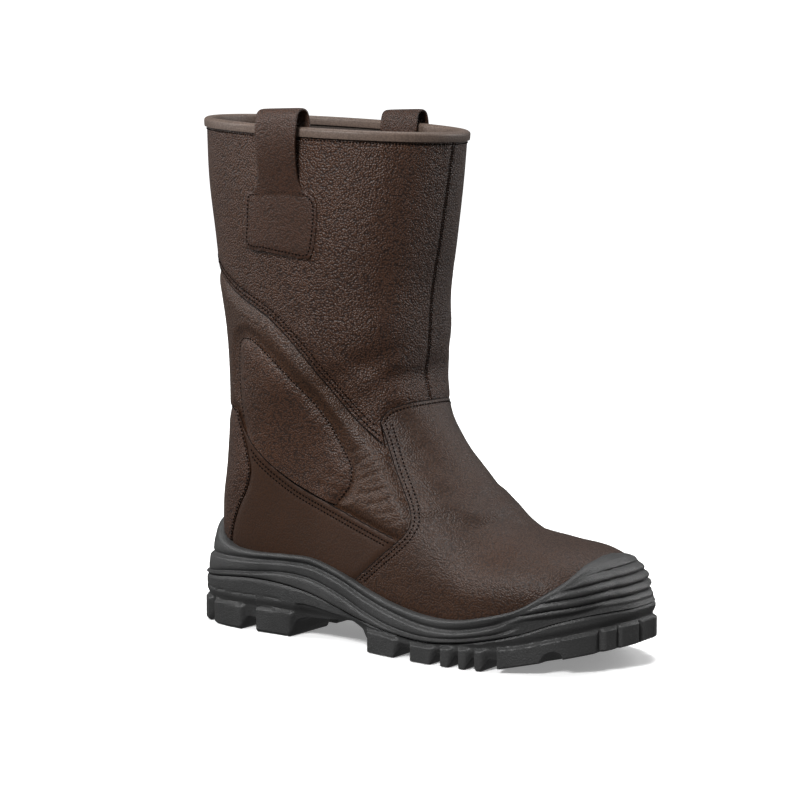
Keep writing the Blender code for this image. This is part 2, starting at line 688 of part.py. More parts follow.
def wall_rings(rings, stations):
    faces = []
    for ring in range(rings - 1):
        for k in range(stations):
            a, b = ring * stations + k, ring * stations + (k + 1) % stations
            faces += [(a, b, b + stations), (a, b + stations, a + stations)]
    return faces


def sole_body(tree, lift=0.0):
    # The midsole before its cavity is cut: a filled wall from the lip down to the outsole's bed
    along = at_turn(np.linspace(0, math.pi, MIDSOLE_STATIONS))
    loop, normal = outline_loop(along)
    count = len(loop)
    x = loop[:, 0]
    ribbed = smoothstep(RIBS_FROM, RIBS_FULL, x / SOLE_LENGTH * 100)
    feather, split = side_line("feather", x), side_line("split", x)

    def reach(height):
        # How far the leather stands out from the outline at a height, per station
        found = []
        for k in range(count):
            start = Vector((*(loop[k] + normal[k] * FAR), height[k]))
            hit = tree.ray_cast(start, Vector((*-normal[k], 0)))
            found.append(FAR - hit[3] if hit[0] else -FAR)
        return np.array(found)

    lip = reach(feather) + LIP_THICKNESS
    rings = [np.column_stack([loop + normal * (lip - LIP_DEPTH)[:, None], feather + lift])]
    for line, drop, side_out, toe_share, toe_out in MIDSOLE_WALL.values():
        side_level = side_line(line, x) - drop
        toe_level = feather + (split - feather) * toe_share
        level = side_level + (toe_level - side_level) * ribbed
        share = np.clip((feather - level) / (feather - split), 0, 1)
        base = lip * (1 - share ** WALL_BULGE)
        base = np.maximum(base, reach(level) + LEAST_SOLE_WALL * smoothstep(0, THIN_SHARE, 1 - share))
        out = base + side_out + (toe_out - side_out) * ribbed
        rings.append(np.column_stack([loop + normal * out[:, None], level + lift]))
    rings += rim_step(loop, normal, OUTSOLE_RIM + BED_CLEARANCE, SPLIT_GAP, BED_CLEARANCE)
    faces = wall_rings(len(rings), count)
    faces += ladder(0, len(along)) + ladder((len(rings) - 1) * count, len(along))
    return np.vstack(rings), faces


def make_midsole(tree):
    item = solid("midsole", *sole_body(tree))
    cutter = solid("cutter", *closed_last(SOLE_CAVITY))
    return complete(carve(item, cutter, "DIFFERENCE"))


def tread_stations():
    # Stations of the outsole with the height of its underside and whether a lug stands there
    percent = SOLE_LENGTH / 100
    rows = [(0.0, HEEL_BEVEL, True)]
    for start, end in LUGS.values():
        depth = TREAD_DEPTH if start < TOE_SPRING_FROM else TOE_TREAD_DEPTH
        rows += [(start * percent + LUG_DRAFT, 0.0, True), (end * percent - LUG_DRAFT, 0.0, True)]
        rows += [(start * percent - LUG_DRAFT, depth, False)]
        rows += [(end * percent + LUG_DRAFT, depth, False)]
    rows += [(x * percent, z, False) for x, z in ARCH]
    rows = sorted(row for row in rows if row[0] <= SOLE_LENGTH - LUG_DRAFT)
    rows[-1] = (SOLE_LENGTH, 0.0, True)
    rows[1] = (LUGS["heel_back"][0] * percent, 0.0, True)
    filled = rows[:1]
    for row in rows[1:]:
        last = filled[-1]
        ends = np.array([last[0], row[0]])
        step = max(math.dist((ends[0], y[0]), (ends[1], y[1])) for y in outline_at(ends))
        pieces = math.ceil(step / LONGEST_STEP)
        for x in at_turn(np.linspace(*end_turn(ends), pieces + 1)[1:-1]):
            f = (x - last[0]) / (row[0] - last[0])
            filled.append((x, last[1] + f * (row[1] - last[1]), row[2] and last[2]))
        filled.append(row)
    return filled


def make_outsole():
    rows = tread_stations()
    along = np.array([row[0] for row in rows])
    lug = np.array([row[2] for row in rows], float)
    from_x = TOE_SPRING_FROM / 100 * SOLE_LENGTH
    rise = TOE_SPRING * np.clip((along - from_x) / (SOLE_LENGTH - from_x), 0, 1)
    under = np.array([row[1] for row in rows]) + rise
    loop, normal = outline_loop(along)
    half = len(along)

    def both(values):
        return np.concatenate([values, values[::-1]])

    top = side_line("split", both(along)) - SPLIT_GAP
    rings = rim_step(loop, normal, OUTSOLE_RIM, 0.0, 0.0)[::-1]
    for share, lug_out, channel_out in OUTSOLE_WALL.values():
        out = channel_out + (lug_out - channel_out) * both(lug)
        level = top + (both(under) - top) * share
        rings.append(np.column_stack([loop + normal * out[:, None], level]))
    points = np.vstack(rings)
    faces = wall_rings(len(rings), 2 * half) + ladder(0, half)
    edge = rings[-1]
    columns = [range((len(rings) - 1) * 2 * half, (len(rings) - 1) * 2 * half + half)]
    for share, rise_share in TREAD_ACROSS[1:-1]:
        line = edge[:half] + (edge[half:][::-1] - edge[:half]) * share
        line[:, 2] += rise_share * CENTRE_GROOVE * lug
        columns.append(range(len(points), len(points) + half))
        points = np.vstack([points, line])
    first = (len(rings) - 1) * 2 * half
    columns.append(range(first + 2 * half - 1, first + half - 1, -1))
    for a, b in zip(columns, columns[1:]):
        faces += [(a[k], a[k + 1], b[k + 1], b[k]) for k in range(half - 1)]
    for end in (0, half - 1):
        faces.append(tuple(column[end] for column in columns))
    return complete(solid("outsole", points, faces))


def stand_on_origin(items):
    # Origin at the middle of the boot's box, on the floor
    corners = np.array([tuple(v.co) for item in items for v in item.data.vertices])
    middle = (corners.min(0) + corners.max(0)) / 2
    shift = Matrix.Translation(Vector((-middle[0], -middle[1], -corners[:, 2].min())))
    for item in items:
        item.data.transform(shift)


def main():
    for item in list(bpy.data.objects):
        bpy.data.objects.remove(item, do_unlink=True)
    leather = last_tree(PANEL_OUT)
    items = [make_outsole(), make_midsole(leather), make_insole(), make_upper()]
    items += make_panels(leather)
    items.append(make_binding())
    items += make_loops(leather)
    stand_on_origin(items)


main()
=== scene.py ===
import math
import bmesh
import bpy
import numpy as np
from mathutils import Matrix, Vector
from mathutils.bvhtree import BVHTree


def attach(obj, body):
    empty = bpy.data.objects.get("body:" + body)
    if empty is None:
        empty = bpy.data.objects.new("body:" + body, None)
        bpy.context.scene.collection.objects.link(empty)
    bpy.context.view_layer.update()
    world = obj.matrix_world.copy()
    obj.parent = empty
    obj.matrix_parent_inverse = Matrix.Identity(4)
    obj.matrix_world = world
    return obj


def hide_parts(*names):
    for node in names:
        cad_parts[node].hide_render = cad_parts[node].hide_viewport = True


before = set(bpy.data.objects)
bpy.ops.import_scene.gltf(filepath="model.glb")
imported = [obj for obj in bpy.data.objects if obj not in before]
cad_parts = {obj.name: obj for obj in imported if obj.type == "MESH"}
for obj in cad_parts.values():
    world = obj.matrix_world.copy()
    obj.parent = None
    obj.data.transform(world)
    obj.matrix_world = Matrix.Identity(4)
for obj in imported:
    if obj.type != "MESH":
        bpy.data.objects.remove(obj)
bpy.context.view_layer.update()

# Right safety boot in its own millimetres: toe along +x, outer side along -y, floor at z = 0
boot = {
    "soleLength": 303.0,
    "ballWidth": 113.0,
    "height": 313.0,
    "middle": (151.328, -0.503),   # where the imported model's origin lies
    "gap": 0.3,                    # between neighbouring pieces
    "seam": 0.7,                   # open line along a panel's edge
    "rows": 310,                   # sections of the fine grid over the leather
    "around": 300,                 # points round each of them
    "tipFacing": (0.3, 0.95),      # share of its own direction and of straight ahead that the toe tip faces
    "welded": 0.02,                # points this near each other are one after a cut
    "thinnest": 0.2,               # leather that a trough leaves
}

# Sections of the last from the toe tip to the collar, percent of length, height and ball width
sectionColumns = ("topX", "topZ", "lowX", "lowZ", "lateral", "medial", "shift",
                  "widest", "topRound", "lowRound", "roll")
sections = {
    "tip":    (97.2, 13.4, 97.2, 11.4, 1.8, 1.8, 10.6, 0.40, 2.0, 2.0, 0.0),
    "toe1":   (96.4, 16.3, 96.4, 9.9, 21.2, 17.7, 8.8, 0.42, 2.1, 2.1, 0.0),
    "toe2":   (93.9, 19.2, 93.9, 8.9, 35.4, 29.2, 6.2, 0.42, 2.2, 2.3, 0.0),
    "toe3":   (89.1, 21.4, 89.1, 7.9, 44.2, 37.2, 3.5, 0.40, 2.3, 2.8, 0.0),
    "cap":    (81.8, 22.5, 81.8, 6.5, 48.7, 42.5, 0.9, 0.38, 2.3, 3.8, 0.0),
    "ball":   (73.9, 24.6, 73.3, 5.4, 50.0, 44.2, 0.0, 0.36, 2.0, 5.5, 0.0),
    "waist":  (67.0, 30.6, 64.0, 5.8, 48.7, 41.6, 0.0, 0.34, 1.95, 6.0, 0.0),
    "instep": (60.7, 37.4, 53.5, 7.0, 46.0, 39.4, 0.0, 0.32, 2.1, 5.5, 0.0),
    "fan1":   (55.8, 43.1, 40.3, 8.6, 42.0, 40.0, 0.0, 0.34, 2.3, 4.8, 0.0),
    "fan2":   (53.3, 46.6, 27.1, 9.9, 39.8, 42.4, 0.0, 0.36, 2.8, 4.0, 0.0),
    "fan3":   (52.3, 49.5, 15.5, 10.5, 39.8, 44.2, 0.0, 0.38, 3.3, 3.2, 0.0),
    "heel1":  (52.0, 52.1, 6.6, 13.4, 40.7, 45.4, 0.0, 0.42, 3.4, 2.5, 0.0),
    "heel2":  (52.2, 54.6, 4.8, 21.7, 42.5, 46.8, 0.0, 0.45, 3.3, 2.2, 0.0),
    "heel3":  (52.5, 57.2, 5.9, 31.0, 45.1, 48.2, 0.0, 0.48, 2.8, 2.1, 0.0),
    "ankle":  (52.8, 60.7, 7.3, 42.2, 49.6, 50.6, 0.0, 0.50, 2.6, 2.1, 0.0),
    "calf1":  (53.5, 68.1, 7.6, 57.5, 53.1, 53.1, 0.0, 0.50, 2.3, 2.2, 0.0),
    "calf2":  (55.3, 77.6, 5.1, 72.8, 55.8, 54.9, 0.0, 0.50, 2.2, 2.2, 0.012),
    "calf3":  (57.1, 87.9, 3.0, 87.9, 57.5, 56.6, 0.0, 0.50, 2.1, 2.2, 0.025),
    "collar": (58.5, 96.9, 2.2, 101.1, 57.5, 56.6, 0.0, 0.50, 2.0, 2.2, 0.036),
}

# Layers, as offsets from the outer face of the leather panels
layers = {"panelIn": -1.2, "wallOut": -1.5, "wallIn": -3.1, "insole": -3.4, "cavity": -1.2}
far = 140.0      # beyond the boot on either side
beyond = 30.0    # how far a cutting block runs past it
tiny = 1e-9      # keeps a division from zero
sides = {"lateral": (-far, 0), "medial": (0, far)}


def hermite(knots, values, at):
    # smooth curve through a table
    knots = np.asarray(knots, float)
    values = np.asarray(values, float)
    at = np.clip(np.asarray(at, float), knots[0], knots[-1])
    secant = np.diff(values) / np.diff(knots)
    slope = np.concatenate([secant[:1], (secant[1:] + secant[:-1]) / 2, secant[-1:]])
    cell = np.clip(np.searchsorted(knots, at, side="right") - 1, 0, len(knots) - 2)
    width = knots[cell + 1] - knots[cell]
    f = (at - knots[cell]) / width
    return (values[cell] * (1 + 2 * f) * (1 - f) ** 2 + slope[cell] * width * f * (1 - f) ** 2
            + values[cell + 1] * f * f * (3 - 2 * f) + slope[cell + 1] * width * f * f * (f - 1))


def ease(low, high, value):
    # soft step from 0 to 1
    f = np.clip((np.asarray(value, float) - low) / (high - low), 0, 1)
    return f * f * (3 - 2 * f)


def bell(distance, width):
    # soft bump, 1 at its middle
    return np.exp(-(np.asarray(distance, float) / width) ** 2)


def runOf(points):
    # distance along a polyline at each of its points
    return np.concatenate([[0], np.cumsum(np.linalg.norm(np.diff(points, axis=0), axis=1))])


def atRun(points, run, at):
    # points of a polyline at distances along it
    return np.stack([np.interp(at, run, column) for column in points.T], -1)


def evenAlong(points, count):
    # the same polyline with evenly spaced points
    run = runOf(points)
    return atRun(points, run, np.linspace(0, run[-1], count))


def curveThrough(points, closed=False, perSpan=8):
    # smooth polyline through a few points
    points = np.asarray(points, float)
    if closed:
        points = np.vstack([points[-2:], points, points[:3]])
    run = runOf(points)
    first, last = (2, len(points) - 3) if closed else (0, len(points) - 1)
    at = []
    for k in range(first, last):
        at += list(np.linspace(run[k], run[k + 1], perSpan, endpoint=False))
    if not closed:
        at.append(run[last])
    return np.stack([hermite(run, points[:, k], at) for k in range(points.shape[1])], 1)


def sectionValues(rows):
    # the sections' columns in millimetres, between the named ones too
    table = np.array(list(sections.values()))
    s = {name: hermite(range(len(table)), table[:, k], rows) for k, name in enumerate(sectionColumns)}
    for name in ("topX", "lowX"):
        s[name] = s[name] * boot["soleLength"] / 100
    for name in ("topZ", "lowZ"):
        s[name] = s[name] * boot["height"] / 100
    for name in ("lateral", "medial", "shift"):
        s[name] = s[name] * boot["ballWidth"] / 100
    return s


def evenRows(count):
    # section positions so that the rows lie evenly over top and underside
    fine = np.linspace(0, len(sections) - 1, 4 * boot["around"])
    s = sectionValues(fine)
    top = runOf(np.stack([s["topX"], s["topZ"]], 1))
    low = runOf(np.stack([s["lowX"], s["lowZ"]], 1))
    return np.interp(np.linspace(0, 1, count), (top + low) / (top + low)[-1], fine)


def halfSection(s, row, side, count):
    # one side of a section from its top to its underside
    turn = np.linspace(0, math.pi, 400)   # fine enough to space the points evenly
    upper = turn <= math.pi / 2
    power = np.where(upper, 2 / s["topRound"][row], 2 / s["lowRound"][row])
    reach = np.abs(np.cos(turn)) ** power
    widest = s["widest"][row]
    level = np.where(upper, widest + (1 - widest) * reach, widest - widest * reach)
    out = side * s["lateral" if side < 0 else "medial"][row] * np.abs(np.sin(turn)) ** power
    points = np.stack([
        s["lowX"][row] + (s["topX"][row] - s["lowX"][row]) * level,
        s["shift"][row] + out,
        s["lowZ"][row] + (s["topZ"][row] - s["lowZ"][row]) * level + s["roll"][row] * out], 1)
    return evenAlong(points, count // 2 + 1)


def lastGrid(rowCount, around):
    # outer face of the leather as rows of points, and its outward directions
    rows = evenRows(rowCount)
    s = sectionValues(rows)
    loops = []
    for row in range(rowCount):
        outer = halfSection(s, row, -1, around)
        inner = halfSection(s, row, 1, around)
        loops.append(np.vstack([outer, inner[::-1][1:-1]]))
    grid = np.stack(loops)
    turned = np.roll(grid, -1, 1) - np.roll(grid, 1, 1)
    along = np.gradient(grid, axis=0)
    normal = np.cross(along, turned)
    normal /= np.linalg.norm(normal, axis=2, keepdims=True)
    centre = grid.mean(1, keepdims=True)
    normal *= np.sign(((grid - centre) * normal).sum((1, 2)).mean())
    own, forward = boot["tipFacing"]
    normal[0] = normal[0] * own + np.array([forward, 0, 0])
    normal[0] /= np.linalg.norm(normal[0], axis=1, keepdims=True)
    return rows, grid, normal


rows, grid, normal = lastGrid(boot["rows"], boot["around"])
rowCount, around = grid.shape[:2]
flatX, flatY, flatZ = (grid[..., k] for k in range(3))
print("last: %d rows of %d points" % (rowCount, around))


def gridCells(skip=None):
    # triangles of the grid, split along diagonals mirrored left to right
    row, column = np.meshgrid(np.arange(rowCount - 1), np.arange(around), indexing="ij")
    keep = np.ones(row.shape, bool) if skip is None else ~skip
    row, column = row[keep], column[keep]
    a = row * around + column
    b = row * around + (column + 1) % around
    d, c = a + around, b + around
    left = column < around // 2
    one = np.stack([a, b, np.where(left, c, d)], 1)
    two = np.stack([np.where(left, a, b), c, d], 1)
    return np.vstack([one, two])


def closedLast(offset):
    # the whole last as a closed body, its face moved out by an offset
    points = (grid + normal * offset).reshape(-1, 3)
    tip = len(points)
    top = (rowCount - 1) * around
    ring = np.arange(around)
    points = np.vstack([points, points[:around].mean(0), points[top:].mean(0)])
    caps = [np.stack([ring, np.roll(ring, -1), np.full(around, tip)], 1),
            np.stack([top + ring, top + np.roll(ring, -1), np.full(around, tip + 1)], 1)]
    return points, np.vstack([gridCells()] + caps)


def shellOf(outside, inside, skip=None):
    # a leather layer round the last, open at the collar and where cells are skipped
    outer = (grid + normal * np.broadcast_to(outside, grid.shape[:2])[..., None]).reshape(-1, 3)
    inner = (grid + normal * np.broadcast_to(inside, grid.shape[:2])[..., None]).reshape(-1, 3)
    count = len(outer)
    points = np.vstack([outer, inner, outer[:around].mean(0), inner[:around].mean(0)])
    cells = gridCells(skip)
    ring = np.arange(around)
    capped = skip is None or not skip[0].any()
    tip = np.stack([ring, np.roll(ring, -1), np.full(around, 2 * count)], 1)
    tipIn = np.stack([count + np.roll(ring, -1), count + ring, np.full(around, 2 * count + 1)], 1)
    edges = np.vstack([cells[:, [0, 1]], cells[:, [1, 2]], cells[:, [2, 0]]])
    key = edges[:, 0] * count + edges[:, 1]
    back = edges[:, 1] * count + edges[:, 0]
    rim = edges[~np.isin(key, back) & ((edges[:, 0] >= around) | (not capped))]
    a, b = rim[:, 0], rim[:, 1]
    walls = np.vstack([np.stack([a, b, count + b], 1), np.stack([a, count + b, count + a], 1)])
    return points, np.vstack([cells, cells[:, ::-1] + count, walls] + ([tip, tipIn] if capped else []))


def meshObject(name, points, faces):
    # a mesh from the boot's own millimetres, faces turned outward
    shift = np.array([*boot["middle"], 0.0])
    mesh = bpy.data.meshes.new(name)
    points = (np.asarray(points, float) - shift) / 1000
    mesh.from_pydata(points.tolist(), [], faces if isinstance(faces, list) else faces.tolist())
    work = bmesh.new()
    work.from_mesh(mesh)
    bmesh.ops.delete(work, geom=[v for v in work.verts if not v.link_faces], context="VERTS")
    bmesh.ops.recalc_face_normals(work, faces=work.faces)
    work.to_mesh(mesh)
    work.free()
    item = bpy.data.objects.new(name, mesh)
    bpy.context.scene.collection.objects.link(item)
    return item


def keepModified(item):
    # the modifiers' result becomes the piece's own mesh
    bpy.context.view_layer.update()
    shape = item.evaluated_get(bpy.context.evaluated_depsgraph_get())
    mesh = bpy.data.meshes.new_from_object(shape)
    item.modifiers.clear()
    item.data = mesh
    return mesh


def carve(item, cutter, operation):
    # cut a piece with another, or join it, and clean the cut
    modifier = item.modifiers.new("carve", "BOOLEAN")
    modifier.operation = operation
    modifier.solver = "MANIFOLD"
    modifier.object = cutter
    mesh = keepModified(item)
    bpy.data.objects.remove(cutter)
    work = bmesh.new()
    work.from_mesh(mesh)
    bmesh.ops.remove_doubles(work, verts=work.verts, dist=boot["welded"] / 1000)
    bmesh.ops.dissolve_degenerate(work, edges=work.edges, dist=boot["welded"] / 2000)
    work.to_mesh(mesh)
    work.free()


def place(item, material, node=None, sharp=38):
    # finish, shading and place on the boot
    item.data.materials.clear()
    for one in material if isinstance(material, list) else [material]:
        item.data.materials.append(one)
    item.data.shade_smooth()
    item.data.set_sharp_from_angle(angle=math.radians(sharp))
    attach(item, "root")
    if node:
        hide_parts(node)
    return item


def sidePrism(outline, near, distant):
    # cutting block: an outline of the side view drawn out across the boot
    count = len(outline)
    ring = np.asarray(outline, float)
    points = np.vstack([np.stack([ring[:, 0], np.full(count, y), ring[:, 1]], 1)
                        for y in (near, distant)])
    faces = [tuple(range(count)), tuple(range(2 * count - 1, count - 1, -1))]
    faces += [(k, (k + 1) % count, count + (k + 1) % count, count + k) for k in range(count)]
    return meshObject("cutter", points, faces)


def lineDistance(path, closed=False):
    # distance in the side view from the leather's grid points to a polyline
    path = np.asarray(path, float)
    ends = np.vstack([path, path[:1]]) if closed else path
    best = np.full(grid.shape[:2], np.inf)
    for (ax, az), (bx, bz) in zip(ends[:-1], ends[1:]):
        span = max((bx - ax) ** 2 + (bz - az) ** 2, tiny)
        f = np.clip(((flatX - ax) * (bx - ax) + (flatZ - az) * (bz - az)) / span, 0, 1)
        best = np.minimum(best, np.hypot(flatX - ax - f * (bx - ax), flatZ - az - f * (bz - az)))
    return best


def insideOf(outline):
    # grid points that lie inside an outline of the side view
    outline = np.asarray(outline, float)
    found = np.zeros(grid.shape[:2], bool)
    for (ax, az), (bx, bz) in zip(outline, np.roll(outline, -1, 0)):
        if az == bz:
            continue
        crosses = (az > flatZ) != (bz > flatZ)
        found ^= crosses & (flatX < (bx - ax) * (flatZ - az) / (bz - az) + ax)
    return found


def within(outline, distance):
    # a distance counted negative outside an outline
    return np.where(insideOf(outline), distance, -distance)


def insetOutline(outline, distance):
    # an outline drawn in all round
    outline = np.asarray(outline, float)
    after = np.roll(outline, -1, 0)
    area = np.sum(outline[:, 0] * after[:, 1] - after[:, 0] * outline[:, 1])
    tangent = after - np.roll(outline, 1, 0)
    inward = np.stack([-tangent[:, 1], tangent[:, 0]], 1) * np.sign(area)
    return outline + inward / np.linalg.norm(inward, axis=1, keepdims=True) * distance


def joined(*runs, closest=0.2):
    # one closed outline from several runs of points, without doubled ones
    chain = []
    for run in runs:
        for point in run:
            if not chain or math.dist(chain[-1], point) > closest:
                chain.append(tuple(point))
    if math.dist(chain[0], chain[-1]) < closest:
        chain.pop()
    return np.array(chain)


# Seams in the side view, millimetres from the heel and the floor
seams = {
    "shaft": [(-30, 258), (20, 229), (57, 209), (84, 195.5), (107, 174), (121.5, 153.5), (135, 136),
              (152.5, 121)],
    "vampTop": [(148.2, 134.5), (151, 140.5), (157, 144.5), (166, 147), (190, 150)],
    "vampRear": [(148.2, 134.5), (160.5, 110.3), (171, 95), (176.5, 86.4), (178.8, 78.6), (176.5, 72.8),
                 (171.5, 67.6), (156, 55.2), (141, 43), (122, 26)],
    "quarterTop": [(47, 137), (54.5, 125), (64, 114.5), (77, 104), (93, 94.2), (114, 85.8), (140, 77.2),
                   (171.5, 68)],
    "counterFront": [(47, 137), (54, 119), (58.5, 100), (55, 89), (47, 77), (38, 61), (28, 40)],
    "counterTop": [(-30, 143), (20, 141), (47, 137)],
}
seamCurve = {name: curveThrough(points) for name, points in seams.items()}
padSeam = curveThrough([(55.8, 125.6), (52.5, 140), (53, 168), (57, 181), (66, 183), (80, 175), (98, 159),
                        (113, 142), (126, 121), (134, 106), (133, 96.5), (128, 89.5), (122.5, 84.2)])
padFoot = [(118, 85.6), (105, 90.6), (92, 96.2), (77, 105.4), (64.6, 116)]   # along the quarter's edge
padOutline = np.vstack([padSeam, curveThrough(padFoot)])
patchOutline = curveThrough([(73.5, 270.2), (80, 271.2), (113, 271.6), (118, 269.3), (121.3, 265),
                             (122, 258), (120.6, 246), (118.2, 235), (116, 231.6), (112.5, 230.9),
                             (104, 232.2), (84, 235.3), (74, 236.2), (70.3, 238), (69.3, 241.5),
                             (70.5, 252), (71.8, 266)], closed=True, perSpan=4)
soleSide = 10   # level, behind the sole's wall, where the panels end
above, ahead, behind = boot["height"] + beyond, boot["soleLength"] + beyond, -beyond
bend = (ahead, seams["vampTop"][-1][1])
vampFoot = (seams["vampRear"][-1][0], soleSide)
counterFoot = (seams["counterFront"][-1][0], soleSide)
cornerAt = np.argmin(np.hypot(*(seamCurve["vampRear"] - np.array(seams["quarterTop"][-1])).T))
outlines = {
    "shaft": joined(seamCurve["shaft"], seamCurve["vampTop"], [bend, (ahead, above), (behind, above)]),
    "vamp": joined(seamCurve["vampRear"], [vampFoot, (ahead, soleSide), bend], seamCurve["vampTop"][::-1]),
    "counter": joined(seamCurve["counterFront"], [counterFoot, (behind, soleSide)], seamCurve["counterTop"]),
    "quarter": joined(seamCurve["quarterTop"], seamCurve["vampRear"][cornerAt:], [vampFoot, counterFoot],
                      seamCurve["counterFront"][::-1]),
}


# Sole: outline as percent of the length, outer and inner edge as percent of the ball width
soleOutline = [
    (0.0, -1.8, 1.8), (1.0, -15.0, 14.2), (4.0, -27.4, 25.7), (9.2, -35.8, 34.1), (16.5, -39.4, 37.2),
    (26.4, -39.8, 36.7), (36.3, -41.6, 34.5), (46.2, -45.6, 35.0), (56.1, -50.0, 38.5), (66.0, -52.7, 44.2),
    (74.3, -52.2, 47.8), (82.5, -47.8, 47.8), (89.1, -39.8, 44.2), (94.7, -28.3, 36.3), (98.3, -12.4, 25.7),
    (100.0, 3.5, 15.0),
]
# Lines round its side: percent of the length, then heights
sideColumns = ("along", "feather", "groove", "step", "split")
sideLines = [
    (0.0, 66.0, 43.0, 31.0, 29.0), (3.3, 62.0, 43.0, 31.5, 29.5), (7.3, 55.0, 43.5, 33.0, 30.5),
    (11.9, 51.0, 43.8, 35.0, 32.0), (19.1, 49.5, 44.5, 37.0, 33.5), (28.0, 50.5, 46.0, 39.0, 32.0),
    (34.7, 50.5, 45.5, 37.5, 29.0), (42.6, 44.5, 39.5, 31.0, 23.0), (48.8, 38.0, 32.5, 24.0, 18.5),
    (56.1, 31.5, 26.0, 18.0, 14.8), (64.4, 27.5, 21.5, 15.4, 13.0), (71.0, 27.5, 21.5, 16.5, 14.5),
    (77.9, 31.5, 25.5, 20.2, 18.0), (84.2, 37.5, 32.0, 25.4, 23.0), (90.8, 51.0, 42.0, 33.0, 30.5),
    (95.7, 60.0, 47.0, 37.0, 34.5), (100.0, 63.0, 49.0, 38.5, 36.0),
]
soleWall = {
    "wall": [  # line a level hangs from, how far below it, how far out
        ("feather", 0.0, -1.2), ("feather", 0.8, 0.2), ("feather", 2.2, 0.4), ("groove", -2.0, -0.3),
        ("groove", -0.5, -1.9), ("groove", 0.5, -1.7), ("groove", 1.6, 0.5), ("groove", 3.0, 0.6),
        ("step", -1.4, 0.2), ("step", -0.3, -1.1), ("step", 0.4, -0.9), ("step", 1.2, 1.2),
        ("split", -1.2, 1.2), ("split", -0.3, 0.6), ("split", 0.0, -0.4)],
    "lip": 3.2, "lipDepth": 14.0, "bulge": 0.6, "leastWall": 2.4, "thinShare": 0.2,
    "stations": 380, "rings": 72,
    "cutStations": 120, "cutRings": 24, "tuck": -1.0,   # plainer body that trims the panels, this much lower
    "ribsFrom": 79.0, "ribsFull": 86.0, "ribPitch": 5.0, "ribHeight": 2.3, "ribFoot": 6.4, "ribFan": 4.5,
    "fanEnds": (82, 96),       # percent of the length over which the ribs fan out
    "ribTop": (3.0, 6.0),      # they run into the lip over this depth below it
    "ribLow": (-0.9, -0.4),    # and fade below the lowest one, in rib pitches
    "ribSharp": 0.5, "ribLift": 0.7,
    "bumper": 0.4, "bumperTuck": 1.6, "bumperRound": 1.5,   # toe face: how far out, its rounded top
    "parting": (10.0, 1.0, 1.1), "partingFrom": 280, "partingTop": (4, 7),   # mould line: y, width, depth
    "rim": 3.0, "bedClearance": 1.0, "splitGap": 0.6, "leastMidsole": 4.0,
}
heelMiddle, toeMiddle = 15.0, 83.0   # middles of the round ends, percent


def endTurn(along):
    # stations as an angle, so that they crowd at heel and toe
    return np.arccos(np.clip(1 - 2 * np.asarray(along, float) / boot["soleLength"], -1, 1))


def atTurn(turn):
    return boot["soleLength"] / 2 * (1 - np.cos(turn))


def outlineAt(along):
    share, lateral, medial = np.array(soleOutline).T
    knots = endTurn(share * boot["soleLength"] / 100)
    return tuple(hermite(knots, edge, endTurn(along)) * boot["ballWidth"] / 100 for edge in (lateral, medial))


def outlineLoop(along):
    # the sole's outline from heel to toe along the outer side and back, with its outward directions
    lateral, medial = outlineAt(along)
    loop = np.vstack([np.stack([along, lateral], 1), np.stack([along, medial], 1)[::-1]])
    middle = np.clip(loop[:, 0], heelMiddle * boot["soleLength"] / 100, toeMiddle * boot["soleLength"] / 100)
    outward = loop - np.stack([middle, sum(outlineAt(middle)) / 2], 1)
    return loop, outward / np.linalg.norm(outward, axis=1, keepdims=True)


def sideLine(name, along):
    table = np.array(sideLines)
    return hermite(table[:, 0] * boot["soleLength"] / 100, table[:, sideColumns.index(name)], along)


def seatLine(along):
    # level of the last's underside
    s = sectionValues(rows)
    foot = rows <= list(sections).index("fan3")
    return np.interp(along, s["lowX"][foot][::-1], s["lowZ"][foot][::-1])


def rimStep(loop, outward, inset, rimLift, bedLift):
    # the outsole's rim and the bed inside it, where the midsole sits
    rimLevel = sideLine("split", loop[:, 0]) - soleWall["splitGap"]
    bed = loop - outward * (inset + 2 * boot["gap"])
    bedLevel = np.minimum(rimLevel, seatLine(bed[:, 0]) - soleWall["leastMidsole"])
    return [np.column_stack([loop - outward * inset, rimLevel + rimLift]),
            np.column_stack([bed, bedLevel + bedLift])]


def ladder(first, count):
    # closes a loop by rungs from its outer to its inner side
    k = np.arange(count - 1)
    a, b = first + k, first + k + 1
    c, d = first + 2 * count - 2 - k, first + 2 * count - 1 - k
    return np.vstack([np.stack([a, b, c], 1), np.stack([a, c, d], 1)])


def wallFaces(rings, stations):
    # faces between closed rings of points
    ring, k = np.meshgrid(np.arange(rings - 1), np.arange(stations), indexing="ij")
    a = (ring * stations + k).ravel()
    b = (ring * stations + (k + 1) % stations).ravel()
    return np.vstack([np.stack([a, b, b + stations], 1), np.stack([a, b + stations, a + stations], 1)])


def softened(profile, cut=0.25):
    # cut the corners of a profile so that moulded edges come out round; its ends stay
    near = profile[:-1] * (1 - cut) + profile[1:] * cut
    distant = profile[:-1] * cut + profile[1:] * (1 - cut)
    middle = np.stack([near, distant], 1).reshape(-1, *profile.shape[1:])
    return np.concatenate([profile[:1], middle[1:-1], profile[-1:]])


def treeOf(points, faces):
    return BVHTree.FromPolygons([Vector(p) for p in points.tolist()], faces.tolist())


lastTree = treeOf(*closedLast(0.0))


def reachOut(loop, outward, height):
    # how far the leather stands out from the sole's outline at a height
    found = []
    for k in range(len(loop)):
        start = Vector((*(loop[k] + outward[k] * far), height[k]))
        hit = lastTree.ray_cast(start, Vector((*-outward[k], 0)))
        found.append(far - hit[3] if hit[0] else -far)
    return np.array(found)


